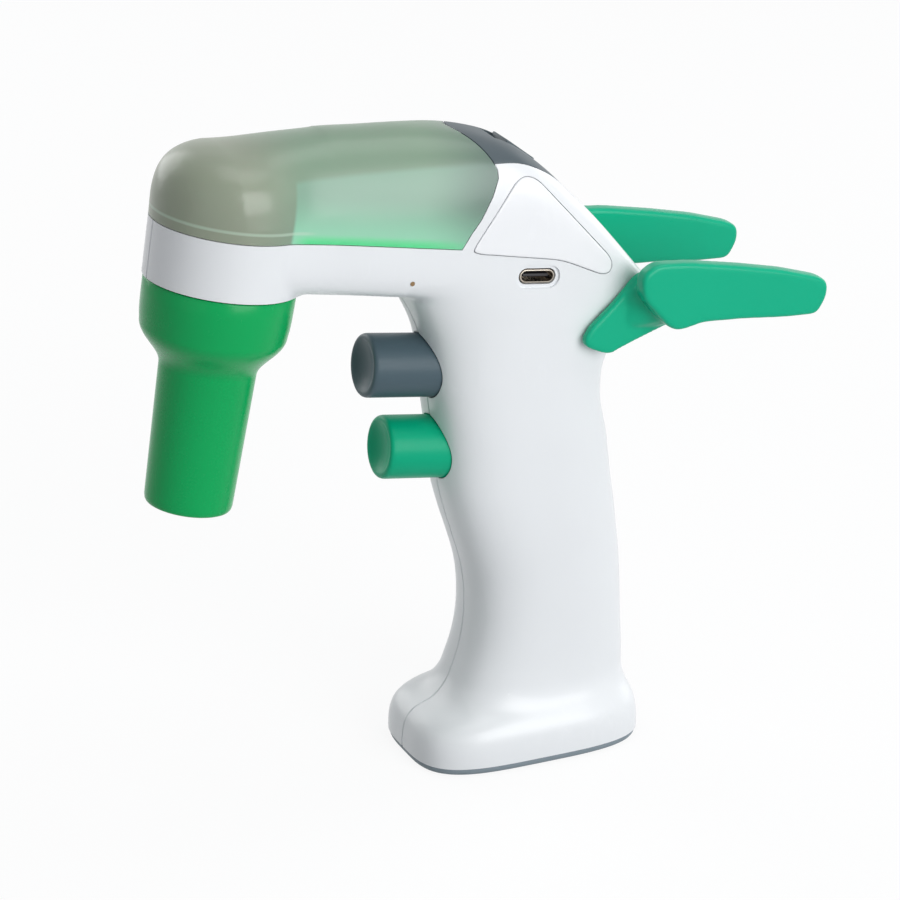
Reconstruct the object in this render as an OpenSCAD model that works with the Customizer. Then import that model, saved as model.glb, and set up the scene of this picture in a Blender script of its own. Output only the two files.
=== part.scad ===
// Motorized pipette controller. The nose points along -X, +Z is up, and the origin is the centre
// of the foot's underside. Lengths are in millimetres and angles in degrees.

/* [Housing] */
// Wall of the two grip shells
shell_wall = 2.2; // [1.6:0.1:2.8]
// Half the width of the grip and of the head's flat flanks
grip_half_w = 15; // [14.5:0.1:18]
// Length of the foot, front to back
foot_len = 60; // [56:1:72]
// Width of the foot
foot_w = 40; // [36:1:48]
// Thickness of the sole plate
base_t = 2; // [1.5:0.1:3]
// Gap between the two shells, and round parts let into them
seam_gap = 0.2; // [0.1:0.05:0.3]
// Thickness of the grey crest strip
trim_wall = 3.2; // [2.8:0.1:3.6]

/* [Nose] */
// Tilt of the nose axis from the vertical
nose_tilt = 10; // [8:0.5:12]
// Radius of the collar at its lower edge
collar_r = 18.1; // [17:0.1:20]
// Height of the white collar
collar_h = 13.9; // [12:0.1:16]
// Length of the nosepiece
cone_len = 54.5; // [50:0.5:66]
// Radius of the nosepiece's slim end
cone_tip_r = 10.3; // [10.2:0.1:12]
// Wall of the nosepiece
cone_wall = 1.7; // [1.2:0.1:1.9]
// Radius of the pipette's seat in the silicone holder
pipette_r = 3.8; // [3:0.1:4.6]
// Length of that straight seat
pipette_seat = 14; // [10:1:17]

/* [Triggers] */
// Radius of a trigger
button_r = 7.65; // [6.4:0.05:7.8]
// Stroke of a trigger
button_travel = 4; // [3:0.5:4.5]
// Distance from a trigger's datum, just ahead of its face, to its back flange
button_len = 32.6; // [31.6:0.2:33.4]
// Downward tilt of the trigger axes
button_tilt = 8; // [6:0.5:10]
// Radius of a valve stem
stem_r = 2; // [1.5:0.1:2.3]
// Radial clearance of a piece that slides or turns in a bore
running_gap = 0.07; // [0.03:0.01:0.1]

/* [Speed slider] */
// Length of the thumb slider
slider_len = 9; // [8:0.5:10]
// Width of the thumb slider
slider_w = 8; // [6:0.5:9]
// Travel to each side of the middle
slider_travel = 2.5; // [1.5:0.5:3]

/* [Rear stand] */
// Thickness of each arm
arm_t = 4.4; // [3.5:0.1:5.5]
// Distance from the middle plane to the middle of each arm
arm_y = 22.7; // [21.5:0.1:26]
// Thickness of the side flanges
flange_t = 2.6; // [2:0.1:3.2]

/* [Drive] */
// Radius of the battery cell
cell_r = 9.15; // [7:0.05:9.2]
// Length of the battery cell
cell_len = 50; // [42:1:50]
// Radius of the pump's motor
motor_r = 10; // [8:0.1:10.4]
// Length of the pump's motor
motor_len = 24; // [20:0.5:25]
// Outer radius of the air tubes
tube_r = 1.4; // [1:0.1:1.5]
// Radius of the housing screws
screw_r = 1.25; // [1:0.05:1.4]

/* [Hidden] */

eps = 0.01;
far = 200;
seat_gap = 0.3;
ring_points = 36;
white = [0.88, 0.90, 0.91];
green = [0.0, 0.64, 0.40];
slate = [0.35, 0.41, 0.45];

// Rows of the grip: height, front, back, half width, squareness of the section
foot_half = foot_len / 2;
foot_shoulder = [
    [base_t, foot_half, foot_half, foot_w / 2, 3.6],
    [6.9, foot_half - 0.3, foot_half - 0.1, foot_w / 2 - 0.2, 3.6],
    [10, foot_half - 1.4, foot_half - 0.6, foot_w / 2 - 0.8, 3.5],
    [12.3, foot_half - 3.9, foot_half - 1.5, foot_w / 2 - 2.1, 3.3]];
grip_rows = [
    [13.9, 21.9, 27.9, grip_half_w + 1.7, 3.1],
    [16.2, 19.4, 27.5, grip_half_w + 0.9, 2.9],
    [22.6, 16.2, 27.4, grip_half_w + 0.2, 2.8],
    [30.6, 14, 27.1, grip_half_w, 2.7],
    [39.5, 13.3, 26.7, grip_half_w, 2.7],
    [48.2, 14.2, 26.2, grip_half_w, 2.7],
    [55.6, 16.2, 25.3, grip_half_w, 2.8],
    [62.4, 18.3, 24.4, grip_half_w, 2.9],
    [70, 20.2, 23.2, grip_half_w, 3],
    [80, 21.2, 22, grip_half_w, 3],
    [91.4, 22.7, 20.1, grip_half_w, 3],
    [100, 23.7, 21.4, grip_half_w, 3],
    [106, 24.4, 24.8, grip_half_w, 3],
    [110, 25.2, 28.2, grip_half_w, 3.1],
    [114.5, 27, 32, grip_half_w, 3.2],
    [118.5, 29, 30.2, grip_half_w, 3.3],
    [121, 30.4, 28.2, grip_half_w, 3.4]];
handle_rows = concat(foot_shoulder, grip_rows);

// Rows of the head: X, underside, widest level, crest, extra half width, squareness above
head_rows = [
    [-76, 131, 144, 162, 2.2, 2.3],
    [-69, 129, 142.7, 162.5, 1.8, 2.3],
    [-63, 127.8, 141.6, 162.8, 0.8, 2.25],
    [-57, 126.7, 140.5, 163, 0.2, 2.25],
    [-49, 125.3, 139, 163, 0, 2.25],
    [-39, 123.5, 137.2, 162.3, 0, 2.25],
    [-29, 121.4, 135.4, 161.6, 0, 2.35],
    [-19, 117, 134, 160.2, 0, 2.8],
    [-11, 112, 133, 158, 0, 3.4],
    [-4, 109, 132, 155, 0, 4.2],
    [3.8, 107, 130, 149, 0, 4.5],
    [9.1, 107, 127.6, 143.6, 0, 4.5],
    [15.2, 107.5, 124, 137.2, 0, 4.5],
    [23, 108.5, 118.5, 127.9, 0, 4.2],
    [28.9, 110, 114.5, 120.5, 0, 3.6],
    [32.6, 111.6, 113.4, 115.6, -0.9, 3]];
belly_squareness = 4.6;

// Frame of the nose: its origin is the centre of the collar's lower edge
nose_origin = [-74.5, 0, 129.8];
// Outline of the round front of the head above the collar's lower edge
dome_outline = [
    [0, 0], [collar_r, 0], [collar_r + 0.3, collar_h], [collar_r + 0.5, collar_h + 5.1],
    [collar_r + 0.2, 22.4], [collar_r - 0.5, 25], [collar_r - 1.9, 27.4], [collar_r - 4.5, 29.6],
    [collar_r - 8.1, 31.2], [collar_r - 13.1, 32.3], [0, 32.7]];

aspirate_front = [-43, 0, 104.2];
dispense_front = [-39, 0, 82.9];
button_face = 3.5;
guide_len = 4.6;
guide_wall = 1.3;
guide_start = button_len - 1.5 - seam_gap - guide_len;
flange_r = button_r + 0.95;
spring_len = 8;
block_face = button_len + spring_len;
button_axis = [cos(button_tilt), 0, -sin(button_tilt)];

slider_centre = [-0.5, 0, 152.3];
slider_slope = 38;
slider_floor = 1.7;

usb_centre = [-1.1, 0, 125];
usb_tilt = 7;
usb_w = 8.94;
usb_h = 3.26;
board_t = 1.6;
motor_z = 142.2;
motor_back = -13;
motor_front = motor_back - motor_len;
pump_len = 14.5;
eccentric_r = 5;
eccentric_shift = 1.5;
cell_x = 3.5;
cell_z = 10;
boss_r = 2.6;
rib_t = 1.6;
shell_screw_at = [[18.5, 30], [-8.5, 18], [15.5, 66], [10, 117], [-54.5, 131.5]];
base_screw_at = [[-15, 10.5], [20, 10.5]];
peg_at = [[22, 112.5], [14.5, 109.5]];
peg_r = 1.8;
stand_side = grip_half_w + seat_gap;
inner_half_w = grip_half_w - shell_wall;
badge_t = 0.8;
badge_sink = 0.1;

// Points of a squared oval, one per turn step
function power(c, n) = sign(c) * pow(abs(c), 2 / n);
function steps(count) = [for (i = [0:count - 1]) 360 * i / count];
function level_ring(row, inset) = [for (a = steps(ring_points))
    let (front = row[1] - inset, back = row[2] - inset, half = (front + back) / 2)
    [(back - front) / 2 + half * power(cos(a), row[4]), (row[3] - inset) * power(sin(a), row[4]), row[0]]];
function upright_ring(row, inset) = [for (a = steps(ring_points))
    let (above = sin(a) > 0, n = above ? row[5] : belly_squareness,
         h = above ? row[3] - row[2] - inset * 1.15 : row[2] - row[1] - inset)
    [row[0], (grip_half_w + row[4] - inset) * power(cos(a), n), row[2] + h * power(sin(a), n)]];

// Skin over a row of rings, one convex slice at a time
module loft(rings) {
    count = len(rings[0]);
    for (i = [0:len(rings) - 2])
        hull() polyhedron(concat(rings[i], rings[i + 1]),
            [[for (k = [0:count - 1]) k], [for (k = [0:count - 1]) count + k]]);
}

module in_nose() translate(nose_origin) rotate([0, nose_tilt, 0]) children();

module along_button(front) translate(front) rotate([0, 90 + button_tilt, 0]) children();

module on_slider() translate(slider_centre) rotate([0, slider_slope, 0]) children();

module across(x, z) translate([x, 0, z]) rotate([90, 0, 0]) children();

module slab(x0, x1, half_w, z0, z1) translate([x0, -half_w, z0]) cube([x1 - x0, 2 * half_w, z1 - z0]);

module handle_form(inset) {
    last = len(handle_rows) - 1;
    loft([for (i = [0:last])
        let (row = handle_rows[i])
        let (z = inset > 0 && i == 0 ? row[0] - 1 : row[0])
        level_ring([z, row[1], row[2], row[3], row[4]], inset)]);
}

module head_form(inset) {
    rows = [for (i = [0:len(head_rows) - 1])
        let (row = head_rows[i], end = i == len(head_rows) - 1)
        [row[0] - (end ? inset : 0), row[1], row[2], row[3] + (end ? inset * 0.6 : 0), row[4], row[5]]];
    loft([for (row = rows) upright_ring(row, inset)]);
    in_nose() rotate_extrude($fn = 60) dome_profile(inset);
}

module dome_profile(inset) {
    intersection() {
        offset(delta = -inset) union() {
            polygon(dome_outline);
            mirror([1, 0]) polygon(dome_outline);
        }
        translate([0, -1]) square([far, far]);
    }
}

module body_form(inset) {
    handle_form(inset);
    head_form(inset);
}

// Everything above the cover's seam and in front of its rear edge, grown by a gap
module cover_space(gap) {
    seam = collar_h - gap;
    intersection() {
        in_nose() translate([-far / 2, -far / 2, seam]) cube(far);
        across(0, 0) translate([0, 0, -far / 2]) linear_extrude(far) offset(delta = gap) cover_side();
        translate([0, 0, 100]) linear_extrude(far) offset(delta = gap) cover_plan();
    }
}

module cover_side() {
    polygon([[-100, 175], [-8, 175], [-10.8, 153], [-11, 149.9], [-12.7, 146], [-15.8, 140.8],
        [-18.3, 137.8], [-20.3, 134.9], [-22.5, 132], [-100, 132]]);
}

function rear_edge(y) = -18.4 + 6.6 * pow(abs(y) / 12, 1.6);

module cover_plan() {
    edge = [for (y = [20:-2:-20]) [rear_edge(y), y]];
    polygon(concat([[-100, -20], [-100, 20]], edge));
}

// Plan of the crest strip: it starts at the cover's rear edge and narrows to the back
module trim_plan(gap) {
    half = 12.2;
    front = [for (y = [12:-2:-12]) [rear_edge(y) + seam_gap, y * half / 12]];
    side = [for (t = [0.15:0.1:0.95]) [-11.6 + 23.6 * t, -half * sqrt(1 - pow(t, 3))]];
    other = [for (i = [len(side) - 1:-1:0]) [side[i][0], -side[i][1]]];
    offset(delta = gap) polygon(concat(front, side, [[12, 0]], other));
}

module trim_space(gap) translate([0, 0, 136]) linear_extrude(40) trim_plan(gap);

// Outline of a side badge, a rounded three-cornered plate
module badge_outline(gap) {
    offset(r = gap, $fn = 24) offset(r = 2.6, $fn = 24) offset(delta = -2.6)
        polygon([[-5.9, 149.6], [-1.6, 149.2], [18.6, 126.2], [17, 122.6], [5, 128.4], [-17.6, 133],
            [-17.4, 134.4]]);
}

module on_flank(side) {
    translate([0, side * 0.6 * grip_half_w, 0]) rotate([90, 0, 0])
        mirror([0, 0, side > 0 ? 1 : 0]) linear_extrude(0.6 * grip_half_w) children();
}

module usb_slot(w, h, depth) {
    translate([usb_centre[0], -depth[0], usb_centre[2]]) rotate([0, usb_tilt, 0]) rotate([90, 0, 0])
        linear_extrude(depth[1] - depth[0]) slot_2d(w, h);
}

module slot_2d(w, h) {
    square([w - h, h], center = true);
    for (s = [-1, 1]) translate([s * (w - h) / 2, 0]) circle(d = h, $fn = 32);
}

module shell_inside() {
    for (at = shell_screw_at) across(at[0], at[1])
        cylinder(r = boss_r, h = 2 * grip_half_w - 1, center = true, $fn = 24);
    for (at = base_screw_at, s = [-1, 1]) translate([at[0], s * at[1], base_t + seat_gap]) {
        cylinder(r = boss_r, h = 10, $fn = 24);
        translate([-rib_t / 2, s > 0 ? 0 : -foot_w, 2]) cube([rib_t, foot_w, 8]);
    }
    in_nose() translate([0, 0, 3]) cylinder(r = collar_r - 1, h = 3, $fn = 60);
}

module shell_cuts() {
    cover_space(seam_gap);
    trim_space(seam_gap);
    in_nose() translate([0, 0, -2]) cylinder(r = collar_r - 2.1, h = 5, $fn = 60);
    in_nose() translate([0, 0, -2]) cylinder(r = socket_r + seat_gap, h = 12, $fn = 60);
    for (front = [aspirate_front, dispense_front]) along_button(front)
        translate([0, 0, 8]) cylinder(r = button_r + seat_gap, h = 17, $fn = 48);
    usb_slot(usb_w + 0.6, usb_h + 0.6, [grip_half_w - 6, grip_half_w + 2]);
    usb_slot(usb_w + 2, usb_h + 2, [grip_half_w - 0.6, grip_half_w + 2]);
    across(-32.9, 127.7) cylinder(r = lens_r + 0.1, h = far, $fn = 20);
    for (side = [-1, 1]) difference() {
        on_flank(side) badge_outline(seam_gap);
        head_form(badge_sink + badge_t + 0.1);
    }
    for (at = peg_at) across(at[0], at[1]) cylinder(r = peg_r + 0.1, h = far, center = true, $fn = 24);
    for (at = base_screw_at, s = [-1, 1]) translate([at[0], s * at[1], 0])
        cylinder(r = screw_r + 0.12, h = 11, $fn = 24);
    for (at = shell_screw_at) across(at[0], at[1]) {
        translate([0, 0, -far / 2]) cylinder(r = screw_r + 0.12, h = far / 2 + 9.5, $fn = 24);
        translate([0, 0, -far / 2 - grip_half_w + 3])
            cylinder(r = screw_head_r + 0.3, h = far / 2, $fn = 32);
    }
}

socket_r = 14.6;
lens_r = 0.55;
screw_head_r = 2.3;

module shell_half(side) {
    intersection() {
        translate([-far, side > 0 ? seam_gap / 4 : -far - seam_gap / 4, 0]) cube([2 * far, far, far]);
        difference() {
            union() {
                difference() {
                    body_form(0);
                    body_form(shell_wall);
                    slab(-foot_half - 5, foot_half + 5, foot_w, -1, base_t);
                }
                intersection() {
                    body_form(eps);
                    shell_inside();
                }
            }
            shell_cuts();
        }
    }
}

module left_shell() color(white) shell_half(-1);

module right_shell() color(white) shell_half(1);

module top_cover() {
    color([0.57, 0.67, 0.61, 0.7]) intersection() {
        cover_space(0);
        difference() {
            head_form(0);
            head_form(shell_wall);
        }
    }
}

// Two green strips that lie inside the cover's lower edge
module light_guide() {
    color(green) for (s = [-1, 1]) in_nose() translate([14, s * (grip_half_w - 3.6) - 0.7, collar_h + 0.6])
        cube([36, 1.4, 4.5]);
}

module selector_trim() {
    color(slate) difference() {
        intersection() {
            trim_space(0);
            difference() {
                head_form(0);
                head_form(trim_wall);
            }
        }
        on_slider() {
            slab(-slider_len / 2 - slider_travel - 1.4, slider_len / 2 + slider_travel + 0.4,
                slider_w / 2 + seat_gap, -slider_floor, 12);
            slab(-2 - slider_travel - 1, 2 + slider_travel, 1.4 + seat_gap, -12, 0);
        }
    }
}

module speed_slider() {
    rib_pitch = 1.4;
    color(slate) on_slider() difference() {
        union() {
            slab(-slider_len / 2 - 0.5, slider_len / 2 - 0.5, slider_w / 2, -slider_floor + seat_gap, 0.5);
            slab(-2.5, 1.5, 1.4, -6.6, 0);
        }
        for (i = [-2:2]) slab(i * rib_pitch - 0.8, i * rib_pitch - 0.2, slider_w / 2 - 1, 0.1, 2);
    }
}

// Slide switch under the crest strip: the slider's stem moves in its slot
module speed_switch() {
    color([0.2, 0.2, 0.22]) on_slider() difference() {
        slab(-6.5, 5.5, 3.4, -8.8, -trim_wall - 1.6);
        slab(-2.5 - slider_travel - 0.4, 1.5 + slider_travel + 0.4, 1.4 + seat_gap, -7, 0);
    }
}

module badge(side) {
    color([0.95, 0.95, 0.97]) intersection() {
        on_flank(side) badge_outline(0);
        difference() {
            head_form(badge_sink);
            head_form(badge_sink + badge_t);
        }
    }
}

module left_badge() badge(-1);

module right_badge() badge(1);

module arm_outline() {
    offset(r = 1.5, $fn = 24) offset(delta = -1.5)
        polygon([[21.4, 124.8], [25.3, 127.3], [34.6, 126.4], [48, 123.8], [59, 121.3], [69, 118.2],
            [71.3, 116.6], [71.2, 113], [68.6, 108.7], [59.4, 109.2], [48.5, 110.4], [37.7, 111.1],
            [34.5, 110.4], [31.1, 109.9], [28.4, 111.3], [21.6, 119.3]]);
}

module flange_outline() {
    offset(r = 1.2, $fn = 24) offset(delta = -1.2)
        polygon([[24.5, 123.4], [17.3, 116], [14.9, 113.9], [11.6, 111.1], [9.8, 108.3], [10.6, 106.4],
            [16.5, 103.8], [19.1, 105], [24.9, 107], [34.6, 110.2], [36.4, 114], [31, 121]]);
}

module upright_plate(y, t) translate([0, y + t / 2, 0]) rotate([90, 0, 0]) linear_extrude(t) children();

module rear_stand() {
    color(green) {
        for (s = [-1, 1]) {
            upright_plate(s * (stand_side + flange_t / 2), flange_t) flange_outline();
            upright_plate(s * arm_y, arm_t) arm_outline();
            // web that steps out from the flange to the arm
            upright_plate(s * (stand_side + arm_y + flange_t) / 2, arm_y - stand_side - flange_t + 1)
                web_outline();
            for (at = peg_at) translate([at[0], s * (stand_side + 0.5), at[1]]) rotate([s * 90, 0, 0])
                cylinder(r = peg_r, h = 4.5, $fn = 32);
        }
        // bar behind the grip's rear corner that joins the two sides
        upright_plate(0, 2 * (stand_side + flange_t)) bridge_outline();
    }
}

module web_outline() {
    offset(r = 1, $fn = 24) offset(delta = -1)
        polygon([[24, 122], [30.5, 121], [35.5, 116], [34.5, 111.5], [31.1, 110.9], [28.4, 112.3]]);
}

module bridge_outline() {
    offset(r = 0.8, $fn = 16) offset(delta = -0.8)
        polygon([[33.6, 116.6], [35.6, 115.6], [36.2, 112.6], [34.6, 110.2], [33.4, 109.6],
            [32.9, 110.6], [33.3, 112.8]]);
}

module foot_outline(inset) {
    polygon([for (p = level_ring(foot_shoulder[0], inset)) [p[0], p[1]]]);
}

module base_plate() {
    color([0.51, 0.56, 0.6]) difference() {
        union() {
            linear_extrude(base_t - eps) foot_outline(0);
            linear_extrude(base_t + 2) difference() {
                foot_outline(shell_wall + seat_gap);
                foot_outline(shell_wall + 1.8);
            }
        }
        for (at = base_screw_at, s = [-1, 1]) translate([at[0], s * at[1], -1]) {
            cylinder(r = screw_r + 0.15, h = 9, $fn = 32);
            cylinder(r = screw_head_r + 0.2, h = 2, $fn = 32);
        }
    }
}

module screw(length) {
    difference() {
        union() {
            cylinder(r = screw_r, h = length, $fn = 24);
            cylinder(r = screw_head_r, h = 0.9, $fn = 32);
        }
        translate([0, 0, -eps]) cylinder(r = 0.8, h = 0.6, $fn = 6);
    }
}

module base_screws() {
    color("silver") for (at = base_screw_at, s = [-1, 1]) translate([at[0], s * at[1], 0.1]) screw(9);
}

module shell_screws() {
    color("silver") for (at = shell_screw_at) translate([at[0], grip_half_w - 2.1, at[1]])
        rotate([90, 0, 0]) screw(2 * grip_half_w - 9);
}

// Heights in the nose frame run down from zero at the collar's lower edge
thread_len = 9;
shoulder_top = 11;
shoulder_end = 21;
neck_r = cone_tip_r + 1.6;
cone_gap = 0.6;

module nose_cone() {
    outer = concat([[collar_r - 0.1, -cone_gap], [collar_r - 0.2, -shoulder_top + 3]],
        [for (t = [0:0.125:1]) [collar_r - 0.6 - (collar_r - 0.6 - neck_r) * (1 - cos(180 * t)) / 2,
            -shoulder_top - (shoulder_end - shoulder_top) * t]],
        [[cone_tip_r + 0.5, -cone_len + 3], [cone_tip_r + 0.35, -cone_len + 0.8],
         [cone_tip_r - 0.3, -cone_len]]);
    inner = [[cone_tip_r - cone_wall + 0.3, -cone_len], [cone_tip_r - cone_wall, -cone_len + 1],
        [neck_r - cone_wall - 0.6, -shoulder_end - 1], [neck_r + 0.5, -15.5], [socket_r + seat_gap, -12],
        [socket_r + seat_gap, -cone_gap]];
    color(green) in_nose() rotate_extrude($fn = 96) polygon(concat(outer, inner));
}

holder_top = -12.6;
holder_flange = 3;
holder_r = cone_tip_r - cone_wall - 0.5;
holder_mouth = -cone_len + 5;

// Silicone sleeve that grips the pipette's mouthpiece
module pipette_holder() {
    seat_top = holder_mouth + 4 + pipette_seat;
    color([0.85, 0.85, 0.86]) in_nose() rotate_extrude($fn = 64)
        polygon([[holder_r, holder_mouth], [holder_r, holder_top - holder_flange - 4],
            [neck_r + 0.15, holder_top - holder_flange], [neck_r + 0.4, holder_top - holder_flange + 1.2],
            [neck_r + 0.4, holder_top], [2.2, holder_top], [2.2, seat_top + 2], [pipette_r, seat_top],
            [pipette_r, holder_mouth + 4], [pipette_r + 1.6, holder_mouth]]);
}

filter_r = 11.6;
filter_h = 7;

module filter_capsule() {
    base = holder_top + seat_gap;
    color([0.93, 0.94, 0.96]) in_nose() difference() {
        union() {
            translate([0, 0, base]) cylinder(r = filter_r, h = filter_h, $fn = 64);
            translate([0, 0, base + filter_h - eps]) cylinder(r = stem_r, h = 8, $fn = 32);
            translate([0, 0, base - 5]) cylinder(r = stem_r, h = 5 + eps, $fn = 32);
            translate([0, 0, base + filter_h / 2]) cylinder(r = filter_r + 0.4, h = 1, $fn = 64);
        }
        translate([0, 0, base - 6]) cylinder(r = 1.1, h = far, $fn = 24);
    }
}

socket_top = 8.5;
seal_r = 1;
seal_z = 1.6;

// Spigot inside the collar that the nosepiece screws onto
module nose_socket() {
    color([0.8, 0.82, 0.83]) in_nose() difference() {
        union() {
            translate([0, 0, -thread_len]) cylinder(r = socket_r, h = thread_len + socket_top, $fn = 64);
            translate([0, 0, 6 + eps]) cylinder(r = collar_r - 2.4, h = socket_top - 6, $fn = 64);
            translate([0, 0, socket_top]) cylinder(r = 2.4, h = 6, $fn = 32);
        }
        translate([0, 0, -thread_len - 1]) cylinder(r = filter_r + 0.8, h = thread_len, $fn = 64);
        translate([0, 0, -2]) cylinder(r = stem_r + 0.15, h = 7, $fn = 32);
        translate([0, 0, seal_z - seal_r - 0.1])
            cylinder(r = stem_r + 0.2 + 2 * seal_r, h = 2 * seal_r + 0.2, $fn = 32);
        cylinder(r = 1.2, h = far, $fn = 24);
    }
}

module nose_seal() {
    color([0.15, 0.15, 0.16]) in_nose() translate([0, 0, seal_z]) rotate_extrude($fn = 48)
        translate([stem_r + 0.1 + seal_r, 0]) circle(r = seal_r, $fn = 20);
}

// Trigger: dished face, straight barrel, and a flange that stops it against its guide
module button() {
    difference() {
        rotate_extrude($fn = 64) polygon([[0, button_face + 1.7], [2.5, button_face + 1.5],
            [4.6, button_face + 0.9], [6, button_face + 0.2], [button_r - 1, button_face],
            [button_r - 0.3, button_face + 0.4], [button_r, button_face + 1.3],
            [button_r, button_len - 1.5], [flange_r, button_len - 1.5], [flange_r, button_len],
            [0, button_len]]);
        translate([0, 0, button_len - 3]) cylinder(r = stem_r, h = 4, $fn = 32);
    }
}

module aspirate_button() color(slate) along_button(aspirate_front) button();

module dispense_button() color([0, 0.67, 0.51]) along_button(dispense_front) button();

stem_reach = 9;

module stem() {
    translate([0, 0, button_len - 3 + eps]) cylinder(r = stem_r, h = spring_len + 3 + stem_reach, $fn = 32);
}

module aspirate_stem() color("gold") along_button(aspirate_front) stem();

module dispense_stem() color("gold") along_button(dispense_front) stem();

// Compression spring: a round wire swept along a helix with closed ends
wire_r = 0.28;
coil_turns = 5;
coil_steps = 16;
wire_sides = 6;
coil_r = stem_r + 1.3;
function coil_height(t) = wire_r + 0.05 + (spring_len - 2 * wire_r - 0.1) * t;
function coil_point(i) = let (t = i / (coil_turns * coil_steps), a = 360 * i / coil_steps)
    [[coil_r * cos(a), coil_r * sin(a), coil_height(t)], [cos(a), sin(a), 0]];

module spring() {
    last = coil_turns * coil_steps;
    rings = [for (i = [0:last]) let (c = coil_point(i))
        [for (b = steps(wire_sides)) c[0] + wire_r * (cos(b) * c[1] + sin(b) * [0, 0, 1])]];
    translate([0, 0, button_len]) tube_mesh(rings);
}

// Closed skin over rings that need not be convex together
module tube_mesh(rings) {
    n = len(rings[0]);
    last = len(rings) - 1;
    sides = [for (i = [0:last - 1], k = [0:n - 1]) let (m = (k + 1) % n)
        each [[i * n + k, i * n + m, (i + 1) * n + m], [i * n + k, (i + 1) * n + m, (i + 1) * n + k]]];
    ends = [[for (k = [n - 1:-1:0]) k], [for (k = [0:n - 1]) last * n + k]];
    polyhedron([for (ring = rings) each ring], concat(sides, ends));
}

module aspirate_spring() color("silver") along_button(aspirate_front) spring();

module dispense_spring() color("silver") along_button(dispense_front) spring();

// Sleeve that carries a trigger, with wings that reach the shell walls
module guide(wing) {
    translate([0, 0, guide_start]) difference() {
        union() {
            cylinder(r = button_r + guide_wall, h = guide_len, $fn = 64);
            translate([-3, -wing, guide_len - 2.2]) cube([6, 2 * wing, 2.2]);
        }
        translate([0, 0, -1]) cylinder(r = button_r + running_gap, h = guide_len + 2, $fn = 64);
    }
}

module aspirate_guide() color([0.3, 0.3, 0.32]) along_button(aspirate_front) guide(inner_half_w - 1.8);

module dispense_guide() color([0.3, 0.3, 0.32]) along_button(dispense_front) guide(inner_half_w - 1.2);

// Small switch on the valve block that the trigger's flange presses at the end of its stroke
module press_switch() {
    translate([-3, coil_r + wire_r + 1, button_len + button_travel + seat_gap])
        cube([6, 3.2, spring_len - button_travel - seat_gap]);
}

module aspirate_switch() color([0.12, 0.12, 0.13]) along_button(aspirate_front) press_switch();

module dispense_switch() color([0.12, 0.12, 0.13]) along_button(dispense_front) press_switch();

block_half_w = 8;
block_back = 11;
block_up = 6;
block_wing = inner_half_w - 1.25;

module valve_block() {
    color([0.75, 0.76, 0.78]) difference() {
        union() {
            along_button(dispense_front) translate([-21, -block_half_w, block_face])
                cube([27, 2 * block_half_w, block_back]);
            along_button(aspirate_front) translate([-block_up, -block_half_w, block_face])
                cube([2 * block_up, 2 * block_half_w, block_back]);
            // wings that reach the shell walls
            for (front = [aspirate_front, dispense_front]) along_button(front)
                translate([-4, -block_wing, block_face + block_back - 3]) cube([8, 2 * block_wing, 3]);
        }
        for (front = [aspirate_front, dispense_front]) along_button(front)
            translate([0, 0, block_face - 20]) cylinder(r = stem_r + running_gap,
                h = 20 + stem_reach + button_travel + 1, $fn = 32);
    }
}

module pump_motor() {
    color("silver") translate([motor_back, 0, motor_z]) rotate([0, -90, 0]) difference() {
        union() {
            cylinder(r = motor_r, h = motor_len, $fn = 64);
            translate([0, 0, -1.5]) cylinder(r = 3, h = 1.5 + eps, $fn = 32);
        }
        translate([0, 0, 3]) cylinder(r = shaft_r + running_gap, h = motor_len, $fn = 32);
    }
}

shaft_r = 1;

// Motor shaft with the eccentric that drives the pump's diaphragms
module pump_shaft() {
    color("silver") translate([motor_back, 0, motor_z]) rotate([0, -90, 0]) {
        translate([0, 0, 4]) cylinder(r = shaft_r, h = motor_len - 4 + 9, $fn = 32);
        translate([eccentric_shift, 0, motor_len + 3]) cylinder(r = eccentric_r, h = 5, $fn = 48);
    }
}

pump_half_w = 10.2;
port_r = 1.6;

module pump_head() {
    color([0.25, 0.27, 0.3]) difference() {
        union() {
            slab(motor_front - pump_len, motor_front - seam_gap, pump_half_w, motor_z - pump_half_w,
                motor_z + pump_half_w - 2);
            for (y = [suction_port[1], pressure_port[1]]) translate([suction_port[0], y, suction_port[2]])
                cylinder(r = port_r, h = 2, $fn = 24);
        }
        translate([motor_front + 1, 0, motor_z]) rotate([0, -90, 0])
            cylinder(r = eccentric_r + eccentric_shift + 1, h = pump_len - 1, $fn = 48);
    }
}

module motor_saddle() {
    color([0.2, 0.2, 0.22]) difference() {
        slab(motor_front + 4, motor_back - 4, inner_half_w - 0.4,
            motor_z - motor_r - 1.6, motor_z - motor_r + 1.4);
        translate([0, 0, motor_z]) rotate([0, 90, 0])
            cylinder(r = motor_r + 0.1, h = far, center = true, $fn = 64);
    }
}

module battery_cell() {
    color([0.1, 0.35, 0.6]) translate([cell_x, 0, cell_z]) cylinder(r = cell_r, h = cell_len, $fn = 64);
}

cradle_wall = 1.3;
contact_t = 0.4;

module battery_cradle() {
    color([0.16, 0.16, 0.17]) difference() {
        union() {
            translate([cell_x, 0, cell_z - 1.8])
                cylinder(r = cell_r + 0.2 + cradle_wall, h = cell_len + 3.6, $fn = 64);
            for (z = [cell_z + 8, cell_z + cell_len - 14]) slab(cell_x + 1, cell_x + 7,
                inner_half_w - seat_gap, z, z + 6);
        }
        translate([cell_x, 0, cell_z - 0.8]) cylinder(r = cell_r + 0.2, h = cell_len + 1.6, $fn = 64);
        slab(cell_x - 20, cell_x + 1, 20, cell_z - 0.8, cell_z + cell_len + 0.8);
    }
}

module battery_contacts() {
    color("gold") for (z = [cell_z - 0.2 - contact_t, cell_z + cell_len + 0.2])
        translate([cell_x, 0, z]) cylinder(r = 5, h = contact_t, $fn = 32);
}

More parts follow.
